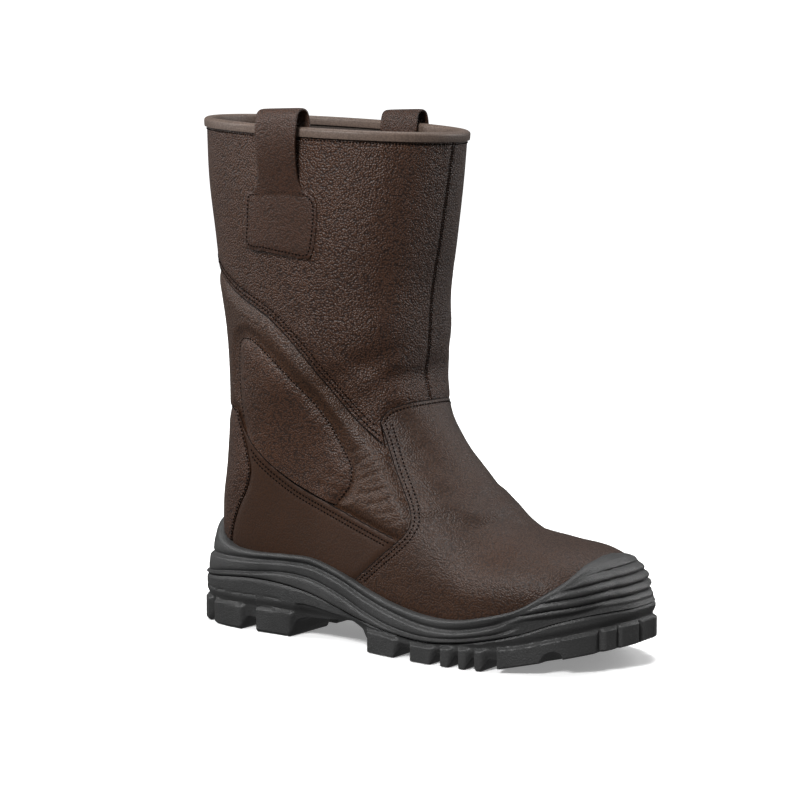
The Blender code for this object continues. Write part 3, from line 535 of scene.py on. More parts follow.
def soleBody(stations, ringCount, lift=0.0, ribs=True):
    # the midsole before its hollow is cut, from the lip down to the outsole's bed
    w = soleWall
    along = atTurn(np.linspace(0, math.pi, stations))
    loop, outward = outlineLoop(along)
    x = loop[:, 0]
    ribbed = ease(w["ribsFrom"], w["ribsFull"], x / boot["soleLength"] * 100)
    feather, split = sideLine("feather", x), sideLine("split", x)
    side = softened(np.stack([np.stack([sideLine(name, x) - drop, np.full(len(x), out)], 1)
                              for name, drop, out in w["wall"]]))
    index = np.linspace(0, len(side) - 1, ringCount)
    low = np.minimum(index.astype(int), len(side) - 2)
    f = (index - low)[:, None, None]
    side = side[low] * (1 - f) + side[low + 1] * f
    lip = reachOut(loop, outward, feather) + w["lip"]
    rings = [np.column_stack([loop + outward * (lip - w["lipDepth"])[:, None], feather + lift])]
    for ring in range(ringCount):
        share = ring / (ringCount - 1)
        toeLevel = feather + (split - feather) * share
        level = side[ring, :, 0] + (toeLevel - side[ring, :, 0]) * ribbed
        down = np.clip((feather - level) / (feather - split), 0, 1)
        base = lip * (1 - down ** w["bulge"])
        upperAt = reachOut(loop, outward, level)
        base = np.maximum(base, upperAt + w["leastWall"] * ease(0, w["thinShare"], 1 - down))
        toeOut = w["bumper"] - w["bumperTuck"] * (1 - ease(0, w["bumperRound"], feather - level))
        if ribs:
            # ribs fan out from the front of the toe and run into the lip
            fan = w["ribFan"] * (1 - ease(*w["fanEnds"], x / boot["soleLength"] * 100))
            phase = (level - split - w["ribFoot"] - fan) / w["ribPitch"]
            start = ease(*w["ribTop"], feather - level) * ease(*w["ribLow"], phase)
            valley = 1 - np.abs(np.sin(math.pi * phase)) ** w["ribSharp"]
            partingAt, wide, deep = w["parting"]
            parting = bell(loop[:, 1] - partingAt, wide) * (x > w["partingFrom"])
            toeOut = toeOut - w["ribHeight"] * valley * start
            toeOut = toeOut + w["ribLift"] * start - deep * parting * ease(*w["partingTop"], feather - level)
        out = base + side[ring, :, 1] + (toeOut - side[ring, :, 1]) * ribbed
        rings.append(np.column_stack([loop + outward * out[:, None], level + lift]))
    rings += rimStep(loop, outward, w["rim"] + w["bedClearance"], w["splitGap"], w["bedClearance"])
    count = len(loop)
    faces = [wallFaces(len(rings), count), ladder(0, stations), ladder((len(rings) - 1) * count, stations)]
    return np.vstack(rings), np.vstack(faces)


def linear(code):
    # sRGB hex to linear colour
    channels = [int(code[k:k + 2], 16) / 255 for k in (1, 3, 5)]
    return [c / 12.92 if c <= 0.04045 else ((c + 0.055) / 1.055) ** 2.4 for c in channels] + [1.0]


def addNode(material, kind, settings=None, links=None):
    # one node with its settings and what feeds it
    node = material.node_tree.nodes.new(kind)
    for key, value in (settings or {}).items():
        if isinstance(key, int) or key in node.inputs:
            node.inputs[key].default_value = value
        else:
            setattr(node, key, value)
    for key, source in (links or {}).items():
        material.node_tree.links.new(source, node.inputs[key])
    return node


def newMaterial(name):
    material = bpy.data.materials.new(name)
    material.use_nodes = True
    return material, material.node_tree.nodes["Principled BSDF"]


def perMetre(millimetres):
    # texture scale that gives a pattern this size
    return 1000.0 / millimetres


leather = {
    "wander": 3, "fold": 8, "cloud": 45,     # a pebble's path in pebbles, folds and broad tone in mm
    "foldShare": 1.1, "softness": 0.3,
    # painted shade: the colour turns dark towards a pebble's edge, where shade falls in the creases
    "crease": (0.3, 0.72),                   # where from a pebble's middle its colour turns dark
    "clouds": (0.88, 1.12),                  # darkest and brightest of the broad tone
    "polished": -0.06, "dull": 0.1,          # change of roughness on top of a pebble and in a crease
    "depth": 0.7, "specular": 0.36,          # mm of the grain, gloss of its finish
}


def grainedLeather(name, colour, crease, pebble, bump, roughness):
    # chrome-tanned hide, drummed so that its grain rises in soft pebbles
    # the eye sees a broken gloss on their tops, and the creases between them are painted darker as shade
    material, shader = newMaterial(name)
    tree = material.node_tree
    where = addNode(material, "ShaderNodeTexCoord").outputs["Object"]
    wander = addNode(material, "ShaderNodeTexNoise",
                     {"Scale": perMetre(pebble * leather["wander"]), "Detail": 2.0}, {"Vector": where})
    moved = addNode(material, "ShaderNodeVectorMath", {"operation": "MULTIPLY_ADD", 1: (pebble / 1000,) * 3},
                    {0: wander.outputs["Color"], 2: where})
    cells = addNode(material, "ShaderNodeTexVoronoi",
                    {"feature": "SMOOTH_F1", "Scale": perMetre(pebble), "Smoothness": leather["softness"]},
                    {"Vector": moved.outputs[0]})
    folds = addNode(material, "ShaderNodeTexNoise",
                    {"Scale": perMetre(leather["fold"]), "Detail": 4.0, "Roughness": 0.6},
                    {"Vector": moved.outputs[0]})
    broad = addNode(material, "ShaderNodeTexNoise", {"Scale": perMetre(leather["cloud"]), "Detail": 2.0},
                    {"Vector": where})
    height = addNode(material, "ShaderNodeMath", {"operation": "MULTIPLY_ADD", 1: leather["foldShare"]},
                     {0: folds.outputs["Fac"], 2: cells.outputs["Distance"]})
    # painted shade: the colour ramp darkens the creases between pebbles
    tone = addNode(material, "ShaderNodeValToRGB", None, {"Fac": cells.outputs["Distance"]})
    for stop, position, code in zip(tone.color_ramp.elements, leather["crease"], (colour, crease)):
        stop.position, stop.color = position, linear(code)
    darkest, brightest = leather["clouds"]
    worn = addNode(material, "ShaderNodeMapRange",
                   {"From Min": 0.3, "From Max": 0.7, "To Min": darkest, "To Max": brightest},
                   {"Value": broad.outputs["Fac"]})
    shade = addNode(material, "ShaderNodeHueSaturation", None,
                    {"Color": tone.outputs["Color"], "Value": worn.outputs["Result"]})
    tree.links.new(shade.outputs["Color"], shader.inputs["Base Color"])
    shine = addNode(material, "ShaderNodeMapRange",
                    {"From Min": 0.2, "From Max": 0.7, "To Min": roughness + leather["polished"],
                     "To Max": roughness + leather["dull"]}, {"Value": cells.outputs["Distance"]})
    tree.links.new(shine.outputs["Result"], shader.inputs["Roughness"])
    relief = addNode(material, "ShaderNodeBump",
                     {"Strength": bump, "Distance": leather["depth"] / 1000, "invert": True},
                     {"Height": height.outputs[0]})
    tree.links.new(relief.outputs["Normal"], shader.inputs["Normal"])
    shader.inputs["Specular IOR Level"].default_value = leather["specular"]
    return material


rubber = {
    "cloud": 45, "gritShare": 0.5,   # broad tone in mm, how much of the tone the grit gives
    "tones": (0.45, 1.0), "depth": 0.45, "ior": 1.5,
}


def mouldedRubber(name, colour, dark, grit, bump, roughness):
    # black polyurethane and rubber from a spark-eroded mould
    # the eye sees an even grit, dull with a soft shine on its edges
    material, shader = newMaterial(name)
    tree = material.node_tree
    where = addNode(material, "ShaderNodeTexCoord").outputs["Object"]
    speckle = addNode(material, "ShaderNodeTexNoise",
                      {"Scale": perMetre(grit), "Detail": 2.0, "Roughness": 0.7}, {"Vector": where})
    broad = addNode(material, "ShaderNodeTexNoise", {"Scale": perMetre(rubber["cloud"]), "Detail": 3.0},
                    {"Vector": where})
    mixed = addNode(material, "ShaderNodeMath", {"operation": "MULTIPLY_ADD", 1: rubber["gritShare"]},
                    {0: speckle.outputs["Fac"], 2: broad.outputs["Fac"]})
    tone = addNode(material, "ShaderNodeValToRGB", None, {"Fac": mixed.outputs[0]})
    for stop, position, code in zip(tone.color_ramp.elements, rubber["tones"], (dark, colour)):
        stop.position, stop.color = position, linear(code)
    tree.links.new(tone.outputs["Color"], shader.inputs["Base Color"])
    relief = addNode(material, "ShaderNodeBump", {"Strength": bump, "Distance": rubber["depth"] / 1000},
                     {"Height": speckle.outputs["Fac"]})
    tree.links.new(relief.outputs["Normal"], shader.inputs["Normal"])
    shader.inputs["Roughness"].default_value = roughness
    shader.inputs["IOR"].default_value = rubber["ior"]
    return material


weave = {"even": 0.25, "bump": 0.4, "depth": 0.4, "roughness": 0.85, "sheen": 0.2}


def wovenCloth(name, colour, dark, thread):
    # polyester mesh and felt: a dull face of small threads, drawn coarser than they are so that they show
    material, shader = newMaterial(name)
    tree = material.node_tree
    where = addNode(material, "ShaderNodeTexCoord").outputs["Object"]
    cells = addNode(material, "ShaderNodeTexVoronoi",
                    {"feature": "F1", "Scale": perMetre(thread), "Randomness": weave["even"]},
                    {"Vector": where})
    tone = addNode(material, "ShaderNodeValToRGB", None, {"Fac": cells.outputs["Distance"]})
    for stop, code in zip(tone.color_ramp.elements, (colour, dark)):
        stop.color = linear(code)
    tree.links.new(tone.outputs["Color"], shader.inputs["Base Color"])
    relief = addNode(material, "ShaderNodeBump",
                     {"Strength": weave["bump"], "Distance": weave["depth"] / 1000, "invert": True},
                     {"Height": cells.outputs["Distance"]})
    tree.links.new(relief.outputs["Normal"], shader.inputs["Normal"])
    shader.inputs["Roughness"].default_value = weave["roughness"]
    shader.inputs["Sheen Weight"].default_value = weave["sheen"]
    return material


nylon = {"twist": 0.6, "roughness": 0.9, "specular": 0.1}


def threadWithHoleShade(name, colour, dark):
    # bonded nylon thread sunk in its needle holes, without shine; its near-black colour is painted shade of
    # the holes
    material, shader = newMaterial(name)
    tree = material.node_tree
    where = addNode(material, "ShaderNodeTexCoord").outputs["Object"]
    twist = addNode(material, "ShaderNodeTexNoise", {"Scale": perMetre(nylon["twist"]), "Detail": 1.0},
                    {"Vector": where})
    tone = addNode(material, "ShaderNodeValToRGB", None, {"Fac": twist.outputs["Fac"]})
    for stop, code in zip(tone.color_ramp.elements, (dark, colour)):
        stop.color = linear(code)
    tree.links.new(tone.outputs["Color"], shader.inputs["Base Color"])
    shader.inputs["Roughness"].default_value = nylon["roughness"]
    shader.inputs["Specular IOR Level"].default_value = nylon["specular"]
    return material


seamShadow = {"roughness": 0.8, "specular": 0.2}


def seamShadowFinish(name, colour):
    # painted shadow: a dark, dull colour along each panel's edge that stands for the shade in the crevice
    # under it
    material, shader = newMaterial(name)
    shader.inputs["Base Color"].default_value = linear(colour)
    shader.inputs["Roughness"].default_value = seamShadow["roughness"]
    shader.inputs["Specular IOR Level"].default_value = seamShadow["specular"]
    return material


# Colours, then a pebble's, grain's or thread's size in mm, and for leather and rubber bump and roughness
finishes = {
    # for leather the second colour is the painted shade in the creases between pebbles
    "shaft": grainedLeather("pebbled_brown_leather", "#4b3122", "#271811", 1.1, 0.85, 0.43),
    "vamp": grainedLeather("vamp_brown_leather", "#3d2617", "#26160d", 1.05, 0.52, 0.46),
    "quarter": grainedLeather("smooth_brown_leather", "#392315", "#301d11", 1.1, 0.22, 0.47),
    "wall": grainedLeather("ankle_brown_leather", "#483021", "#2b1b12", 1.1, 0.6, 0.43),
    "pad": grainedLeather("padded_brown_leather", "#492f20", "#281911", 1.1, 0.65, 0.44),
    "strap": grainedLeather("strap_brown_leather", "#42291c", "#2b1b12", 1.05, 0.5, 0.46),
    "binding": grainedLeather("binding_grey_brown_leather", "#6b5b51", "#5a4c44", 1.0, 0.15, 0.46),
    "midsole": mouldedRubber("sole_wall_polyurethane", "#434343", "#252525", 1.0, 0.9, 0.42),
    "outsole": mouldedRubber("tread_rubber", "#3b3b3b", "#222222", 1.0, 0.9, 0.46),
    "lining": wovenCloth("lining_mesh_cloth", "#4a3f39", "#2b2420", 1.2),
    "footbed": wovenCloth("footbed_felt_cloth", "#2e2b29", "#1b1918", 1.4),
    # painted shadow: near-black bead in the crevice along panel edges
    "seamShadow": seamShadowFinish("painted_seam_shadow", "#120a07"),
    # painted shade: the thread is coloured near black for the shade in its needle holes
    "thread": threadWithHoleShade("thread_painted_with_hole_shade", "#140b07", "#0a0504"),
}
print("finishes: %d" % len(finishes))


def edgeFall(path, drop, width):
    # rounded edge of a panel: how much its face falls away near its seam
    return -drop * np.clip(1 - lineDistance(path) / width, 0, 1) ** 2


def stitchDip(path, distances, depth=0.3, width=1.0):
    # the thread draws the leather down along a row
    d = lineDistance(path)
    return -sum(depth * bell(d - at, width) for at in distances)


def creaseField(table, blend=4):
    # soft troughs and ridges: side (-1 outer, 1 inner, 0 both), points in the side view, width, height
    field = np.zeros(grid.shape[:2])
    for side, points, width, height in table:
        near = lineDistance(curveThrough(points, perSpan=6) if len(points) > 2 else points)
        on = 1.0 if side == 0 else ease(-blend, blend, side * flatY)
        field += height * bell(near, width) * on
    return field


def farCells(outline, near, distant, reach=6.0):
    # grid cells well outside a panel's outline or on the other side of the boot
    off = within(outline, lineDistance(outline, closed=True)) < -reach
    off |= (flatY < near - reach) | (flatY > distant + reach)
    both = off & np.roll(off, -1, 1)
    return both[:-1] & both[1:]


def panelPiece(name, outline, outside, node, material, near=-far, distant=far, tucked=False):
    # a panel cut from the upper's own shape, tucked ones behind the sole's wall
    inside = layers["panelIn"]
    outside = np.maximum(outside, inside + boot["thinnest"])   # no trough goes through the leather
    item = meshObject(name, *shellOf(outside, inside, farCells(outline, near, distant)))
    carve(item, sidePrism(insetOutline(outline, boot["seam"] / 2), near, distant), "INTERSECT")
    if tucked:
        trim = soleBody(soleWall["cutStations"], soleWall["cutRings"], soleWall["tuck"], False)
        carve(item, meshObject("cutter", *trim), "DIFFERENCE")
    print("%s: %d faces" % (name, len(item.data.polygons)))
    return place(item, material, node)


reliefs = {}   # of each panel's outer face, for the stitches that lie in it

# Shaft: soft hollows of a hide that has stood on its own, a seam down its front
shaft = {
    "hollows": [  # side, points, width, height
        (-1, [(40, 250), (90, 215)], 22, -0.8), (-1, [(120, 270), (140, 200)], 18, 0.7),
        (1, [(60, 250), (110, 220)], 24, -0.8), (0, [(150, 190), (168, 160)], 9, 0.5),
        (-1, [(124, 180), (146, 164), (160, 160)], 5, -0.7), (1, [(125, 172), (158, 165)], 6, -0.7),
        (-1, [(112, 186), (132, 170), (150, 150)], 6, 0.5)],
    "edge": 0.3, "edgeWidth": 1.6, "stitches": (2.4, 5.0),
    "underVamp": (0.9, 5.0),        # falls away below the vamp's edge: depth, width
    "frontFrom": 120, "frontSeam": 0.8, "frontWidth": 0.9, "frontStitches": 1.3,
    "frontSwell": (0.2, 4.0, 2.6),  # the leather beside the front seam: height, distance, width
}


def makeShaft():
    centreFar = np.abs(flatY)
    front = flatX > shaft["frontFrom"]
    relief = creaseField(shaft["hollows"])
    relief += edgeFall(seamCurve["shaft"], shaft["edge"], shaft["edgeWidth"])
    relief += edgeFall(seamCurve["vampTop"], *shaft["underVamp"])
    relief += stitchDip(seamCurve["shaft"], shaft["stitches"])
    relief -= shaft["frontSeam"] * bell(centreFar, shaft["frontWidth"]) * front
    height, distance, width = shaft["frontSwell"]
    relief += height * bell(centreFar - distance, width) * front
    reliefs["shaft"] = relief
    panelPiece("shaft_leather", outlines["shaft"], relief, "shaft", finishes["shaft"])


# Vamp: smooth over the toe, broken by the folds where the foot bends
vamp = {
    "creases": [
        (0, [(172, 117), (184, 110), (195, 104)], 6.5, -1.1),
        (-1, [(178, 104), (192, 100), (200, 97)], 6.0, 0.7),
        (1, [(186, 110), (196, 102)], 6.0, 0.5), (0, [(196, 97), (206, 91)], 4.6, -0.75),
        (1, [(198, 97), (207, 91)], 5.0, -0.15), (-1, [(188, 88), (200, 87.5), (213, 83)], 4.2, 1.1),
        (1, [(200, 90), (214, 82), (222, 77)], 6.0, 1.2),
        (-1, [(186, 80), (202, 79), (216, 77)], 4.5, -0.7), (1, [(212, 76), (226, 72)], 4.0, -0.5)],
    "edge": 0.3, "edgeWidth": 1.6, "topStitches": (2.2,), "stitches": (2.2, 5.0),
}


def makeVamp():
    relief = creaseField(vamp["creases"])
    for name, rowsAt in (("vampTop", vamp["topStitches"]), ("vampRear", vamp["stitches"])):
        path = seamCurve[name]
        relief += edgeFall(path, vamp["edge"], vamp["edgeWidth"]) + stitchDip(path, rowsAt)
    reliefs["vamp"] = relief
    panelPiece("vamp_leather", outlines["vamp"], relief, "vamp", finishes["vamp"],
               tucked=True)


# Quarters: smooth sides with a turned-over top edge
quarter = {
    "edge": 0.5, "edgeWidth": 1.8, "stitches": (3.6, 6.2),
    "roll": (0.3, 1.6, 1.4),    # height, distance from the edge, width
    "underOthers": (0.9, 4.0),  # falls away below the vamp's and the counter's edge: depth, width
}


def makeQuarters():
    relief = edgeFall(seamCurve["quarterTop"], quarter["edge"], quarter["edgeWidth"])
    relief += stitchDip(seamCurve["quarterTop"], quarter["stitches"])
    height, distance, width = quarter["roll"]
    relief += height * bell(lineDistance(seamCurve["quarterTop"]) - distance, width)
    relief += (edgeFall(seamCurve["counterFront"], *quarter["underOthers"])
               + edgeFall(seamCurve["vampRear"], *quarter["underOthers"]))
    reliefs["quarter"] = relief
    for side, (near, distant) in sides.items():
        panelPiece("quarter_%s_leather" % side, outlines["quarter"], relief, "quarter_" + side,
                   finishes["quarter"], near, distant, tucked=True)


# Heel counter: swells over its stiffener, its front edge oversewn
counter = {"edge": 0.7, "edgeWidth": 2.4, "swell": 1.4, "swellRise": 12, "stitches": (1.1,)}


def makeCounter():
    edgeFar = np.minimum(lineDistance(seamCurve["counterFront"]), lineDistance(seamCurve["counterTop"]))
    relief = counter["swell"] * ease(0, counter["swellRise"], edgeFar)
    for name in ("counterFront", "counterTop"):
        relief += edgeFall(seamCurve[name], counter["edge"], counter["edgeWidth"])
    reliefs["counter"] = relief
    panelPiece("heel_counter_leather", outlines["counter"], relief, "heel_counter", finishes["shaft"],
               tucked=True)


# Quilted leaves at the ankle: full in the middle, drawn down where they are sewn
pad = {
    "edge": -1.0, "crown": 1.9, "rise": 11.0, "riseFrom": -4.0, "fullness": 0.8, "seamWidth": 2.5,
    "stitches": (1.0,),
    "pucker": 0.12, "puckerPitch": 5.2, "puckerAt": (4.0, 2.6),   # distance from the seam, width
    "creases": [(-1, [(112, 128), (128, 108)], 3.0, -0.3), (-1, [(118, 102), (130, 100)], 2.2, -0.35),
                (-1, [(112, 96), (124, 94)], 2.0, -0.3), (-1, [(100, 150), (114, 130)], 5.0, 0.3),
                (1, [(112, 128), (128, 108)], 3.0, -0.4)],
}


def makePads():
    d = lineDistance(padSeam)
    start, full, rise = pad["riseFrom"], pad["fullness"], pad["crown"] - pad["edge"]
    relief = pad["edge"] + rise * ease(start, pad["rise"], d) ** full
    relief -= rise * ease(start, pad["rise"], 0.0) ** full * bell(d, pad["seamWidth"])
    relief += creaseField(pad["creases"])
    wave = np.sin((flatX - flatZ) * math.sqrt(0.5) * 2 * math.pi / pad["puckerPitch"])
    distance, width = pad["puckerAt"]
    relief += pad["pucker"] * wave * bell(d - distance, width)
    relief = np.maximum(relief, pad["edge"])
    reliefs["pad"] = relief
    for side, (near, distant) in sides.items():
        item = panelPiece("ankle_pad_%s_leather" % side, padOutline, relief, "ankle_pad_" + side,
                          finishes["pad"], near, distant)


# Inner wall: shows as the quilted ankle panel between the seams, lined with cloth inside
wall = {
    "strip": 2.5, "stripRise": 8.5, "creaseRise": 4,
    "padSwell": (0.45, 2.5), "seamDip": (1.1, 2.0),   # height or depth, width
    "creases": [
        (-1, [(133, 116), (141, 121), (147, 123)], 1.3, -0.3),
        (-1, [(136, 109), (146, 115), (153, 117)], 1.4, -0.4),
        (-1, [(139, 106), (147, 109), (152, 113)], 1.2, -0.28),
        (-1, [(138, 100), (149, 104), (158, 109)], 1.4, -0.42),
        (-1, [(143, 98), (152, 100), (158, 103)], 1.2, -0.25),
        (-1, [(140, 92), (153, 95), (165, 100)], 1.4, -0.4),
        (-1, [(148, 87), (158, 89), (168, 94)], 1.3, -0.32),
        (-1, [(153, 82), (163, 83), (172, 87)], 1.3, -0.35),
        (-1, [(160, 77), (168, 78), (175, 81)], 1.2, -0.3),
        (-1, [(148, 112), (157, 100), (168, 88)], 5.0, 0.7),
        (1, [(136, 108), (157, 109)], 2.2, -0.5), (1, [(134, 94), (168, 91)], 2.2, -0.5),
        (1, [(155, 80), (176, 79)], 2.0, -0.5)],
    "openFrom": "toe3", "openTo": "fan3", "openColumns": 2 / 24,   # open under the foot, as in the solid
    "kept": 0.5,          # share of the faces that stay
    "liningWithin": 0.3,  # faces this near the inside are cloth
}


def makeWall():
    seamFar = lineDistance(seamCurve["shaft"])
    padFar = lineDistance(padSeam)
    rearFar = lineDistance(seamCurve["vampRear"])
    topFar = lineDistance(seamCurve["quarterTop"])
    covered = insideOf(padOutline)
    for outline in outlines.values():
        covered |= insideOf(outline)
    bare = ~covered
    sewn = np.minimum(np.minimum(seamFar, rearFar), topFar)
    edge = np.minimum(sewn, padFar)
    relief = wall["strip"] * ease(0, wall["stripRise"], edge) * bare
    (swell, swellWidth), (dip, dipWidth) = wall["padSwell"], wall["seamDip"]
    relief += swell * bell(padFar, swellWidth) - dip * bell(sewn, dipWidth)
    relief += creaseField(wall["creases"]) * bare * ease(0, wall["creaseRise"], edge)
    names = list(sections)
    row, column = np.meshgrid(np.arange(rowCount - 1), np.arange(around), indexing="ij")
    foot = (rows[row] >= names.index(wall["openFrom"])) & (rows[row] < names.index(wall["openTo"]))
    under = np.abs(column + 0.5 - around / 2) <= wall["openColumns"] * around
    item = meshObject("upper_wall", *shellOf(layers["wallOut"] + relief, layers["wallIn"], foot & under))
    thin = item.modifiers.new("thin", "DECIMATE")   # most of it lies hidden under the panels
    thin.ratio = wall["kept"]
    keepModified(item)
    place(item, [finishes["wall"], finishes["lining"]], "upper")
    inner = treeOf((grid + normal * layers["wallIn"]).reshape(-1, 3), gridCells())
    shift = Vector((*boot["middle"], 0))
    for face in item.data.polygons:
        hit = inner.find_nearest(face.center * 1000 + shift, wall["liningWithin"])
        face.material_index = 1 if hit[0] is not None else 0
    print("upper_wall: %d faces" % len(item.data.polygons))


# Collar binding: a soft rolled strip folded over the top edge
binding = {"leg": 3.6, "crown": 2.2, "thick": 1.3, "round": 20, "shoulder": 0.9, "edgeRound": 0.1}


def makeBinding():
    base, out = grid[-1], normal[-1]
    up = grid[-1] - grid[-4]
    up /= np.linalg.norm(up, axis=1, keepdims=True)
    nearOut, nearIn = boot["gap"], layers["wallIn"] - boot["gap"]
    farOut, farIn = nearOut + binding["thick"], nearIn - binding["thick"]
    middle, half = (farOut + farIn) / 2, (farOut - farIn) / 2
    leg, shoulder, soft = binding["leg"], binding["shoulder"], binding["edgeRound"]
    arc = np.linspace(0, math.pi, binding["round"])
    # out from the leather and height: up the outside, over the roll, down the inside and back under it
    profile = [(nearOut + soft, -leg - 2 * soft), (farOut - 2 * soft, -leg - soft),
               (middle + half, -leg + shoulder)]
    profile += [(middle + half * math.cos(a), binding["crown"] * math.sin(a) - 2 * soft) for a in arc]
    profile += [(middle - half, -leg + shoulder), (farIn + 2 * soft, -leg - soft),
                (nearIn - soft, -leg - 2 * soft)]
    profile += [(nearIn - soft / 2, soft), (nearOut + soft / 2, soft)]
    points = np.vstack([base + out * o + up * h for o, h in profile])
    count = len(profile)
    faces = wallFaces(count, around)
    k = np.arange(around)
    last = (count - 1) * around
    closing = np.stack([last + k, last + np.roll(k, -1), np.roll(k, -1), k], 1)
    item = meshObject("collar_binding_roll", points, faces.tolist() + closing.tolist())
    print("collar_binding_roll: %d faces" % len(item.data.polygons))
    place(item, finishes["binding"], "collar_binding", 60)


# Pull loops: strap over the collar, one piece with the patch that is sewn to the shaft
pullLoop = {
    "roll": 0.035, "reference": 296.0, "steps": 110, "across": 14,
    "path": [  # out from the panels, height, thickness, width, middle
        (1.05, 260.0, 0.9, 45.0, 95.8), (1.1, 269.0, 1.0, 43.5, 95.8), (1.7, 274.5, 1.6, 33.5, 96.6),
        (2.8, 281.0, 2.0, 28.2, 97.6), (5.4, 294.0, 2.0, 27.6, 98.2), (6.4, 307.0, 2.0, 28.6, 98.5),
        (4.4, 317.5, 2.0, 29.0, 98.5), (-0.6, 320.3, 2.0, 29.0, 98.5), (-5.6, 317.8, 2.0, 29.0, 98.5),
        (-7.4, 308.0, 2.0, 29.0, 98.5), (-6.2, 297.0, 2.0, 29.0, 98.5), (-4.8, 286.0, 2.0, 29.0, 98.5),
        (-4.6, 274.0, 1.8, 29.0, 98.5)],
    "square": 0.35,                        # how square the strap's section is, 1 is round
    "patchOut": 1.8, "patchEdge": 1.1, "patchEdgeWidth": 1.6,
    "patchStitch": 2.4, "patchDip": (0.35, 0.9),
    "medialDrop": 2.0, "dropOver": (272, 296),   # the inner loop lies lower, between these heights
}


def makeLoops():
    path = np.array(pullLoop["path"])
    fine = np.linspace(0, len(path) - 1, pullLoop["steps"])
    out, up, thick, width, middle = (hermite(np.arange(len(path)), column, fine) for column in path.T)
    forward = np.stack([np.gradient(out), np.gradient(up)], 1)
    forward /= np.linalg.norm(forward, axis=1, keepdims=True)
    # rounded strip section: share across, share through
    ring = []
    for turn in np.linspace(0, 2 * math.pi, 4 * pullLoop["across"], endpoint=False):
        c, s = math.cos(turn), math.sin(turn)
        ring.append(tuple(math.copysign(abs(v) ** pullLoop["square"], v) for v in (c, s)))
    ring = np.array(ring)
    d = lineDistance(patchOutline, closed=True)
    fall = np.clip(1 - d / pullLoop["patchEdgeWidth"], 0, 1) ** 2
    depth, wide = pullLoop["patchDip"]
    relief = pullLoop["patchOut"] - pullLoop["patchEdge"] * fall
    relief -= depth * bell(d - pullLoop["patchStitch"], wide)
    reliefs["patch"] = relief
    for name, side in (("lateral", -1), ("medial", 1)):
        points = []
        for step in range(len(fine)):
            for across, through in ring:
                x = middle[step] + across * width[step] / 2
                o = out[step] + through * 0.5 * thick[step] * forward[step, 1]
                z = up[step] - through * 0.5 * thick[step] * forward[step, 0]
                start = Vector((x, side * far, min(up[step], pullLoop["reference"])))
                hit = lastTree.ray_cast(start, Vector((0, -side, 0)))[0]
                y = hit.y + side * o
                drop = pullLoop["medialDrop"] * ease(*pullLoop["dropOver"], up[step]) if side > 0 else 0.0
                points.append((x, y, z + pullLoop["roll"] * y - drop))
        count = len(ring)
        faces = wallFaces(len(fine), count).tolist()
        faces += [tuple(range(count)), tuple((len(fine) - 1) * count + k for k in range(count))]
        strap = meshObject("strap", np.array(points), faces)
        patch = shellOf(relief, boot["gap"], farCells(patchOutline, *sides[name]))
        item = meshObject("pull_loop_%s_strap" % name, *patch)
        carve(item, sidePrism(patchOutline, *sides[name]), "INTERSECT")
        carve(item, strap, "UNION")
        place(item, finishes["strap"], "pull_loop_" + name, 45)
    print("pull loops made")


# Insole: the footbed inside the upper, cut from the last's own shape
insole = {"thickness": 4.0, "stations": 60}


def makeInsole():
    stations = np.linspace(0, boot["soleLength"], insole["stations"])
    top = seatLine(stations) - layers["insole"] + insole["thickness"]
    outline = list(zip(stations, top)) + [(boot["soleLength"], -beyond), (0, -beyond)]
    item = meshObject("insole_footbed", *closedLast(layers["insole"]))
    carve(item, sidePrism(outline, -far, far), "INTERSECT")
    print("insole_footbed: %d faces" % len(item.data.polygons))
    place(item, finishes["footbed"], "insole")


def makeMidsole():
    item = meshObject("midsole_wall", *soleBody(soleWall["stations"], soleWall["rings"]))
    carve(item, meshObject("cutter", *closedLast(layers["cavity"])), "DIFFERENCE")
    print("midsole_wall: %d faces" % len(item.data.polygons))
    place(item, finishes["midsole"], "midsole", 50)


# Outsole: lugs, hollow and lug height by percent of the length, slots round the toe, the arch's recess
tread = {
    "lugs": [(2.0, 6.4), (8.2, 17.2), (20.4, 30.0), (50.2, 58.2), (61.4, 67.2), (68.6, 71.4), (72.6, 75.0),
             (76.0, 78.4), (80.4, 100.0)],
    "hollow": [(0, 7), (29.4, 7), (30.6, 10), (33, 12.5), (38.5, 13.8), (45.2, 16), (48, 12), (49.4, 7),
               (77, 7), (81, 4), (100, 4)],
    "lugHeight": [(0, 15), (30, 15), (50, 13), (60, 12), (78, 12), (84, 11), (100, 13)],
    "bevel": 0.9, "endBevel": 3.2, "heelBevel": 1.5, "spring": 14.5, "springFrom": 77.0,
    "shoulder": 2.2,       # least wall between a lug's top and the midsole
    "stand": 2.6, "standOver": (1.3, -0.9),     # how far a lug stands out, over which height at its top
    "drawIn": 0.7, "drawInOver": (6.0, 0.5),    # share of that by which the wall draws in above the lugs
    "topEdge": (0.9, 0.06, 0.2),                # edge under the midsole: how far out, over which share, inset
    "heelCrease": (0.5, 7.5, 0.45), "heelCreaseTo": 27,   # depth, height over the lugs, width
    "gapDepth": 1.4, "gapOver": (0.5, 1.0),     # set back between the lugs, over this share of the wall
    "slotDepth": 2.4, "slotOver": (1.0, -1.0),
    "archDepth": 1.5, "archOver": (0.42, 0.5), "archEnds": ((30.2, 31.4), (47.5, 49.5)),
    "footBevel": 2.0, "footOver": (0.93, 1.0),  # rounded foot of the lugs
    "slots": [((292.3, -24.3), 2.0), ((298.0, -13.8), 1.3), ((302.9, 2.0), 1.3), ((303.0, 15.5), 1.1),
              ((297.8, 29.0), 1.3), ((287.0, 41.0), 2.0)],   # place in plan, half width
    "notch": (272.0, 5.2),  # middle and radius of the round cut in the long outer lug
    "stations": 460, "rings": 34,
    "across": [0.0, 0.07, 0.16, 0.44, 0.46, 0.54, 0.56, 0.84, 0.93, 1.0],
    "groove": 4.0, "grooveAt": (0.45, 0.55),    # depth and share across of the groove along the middle
}


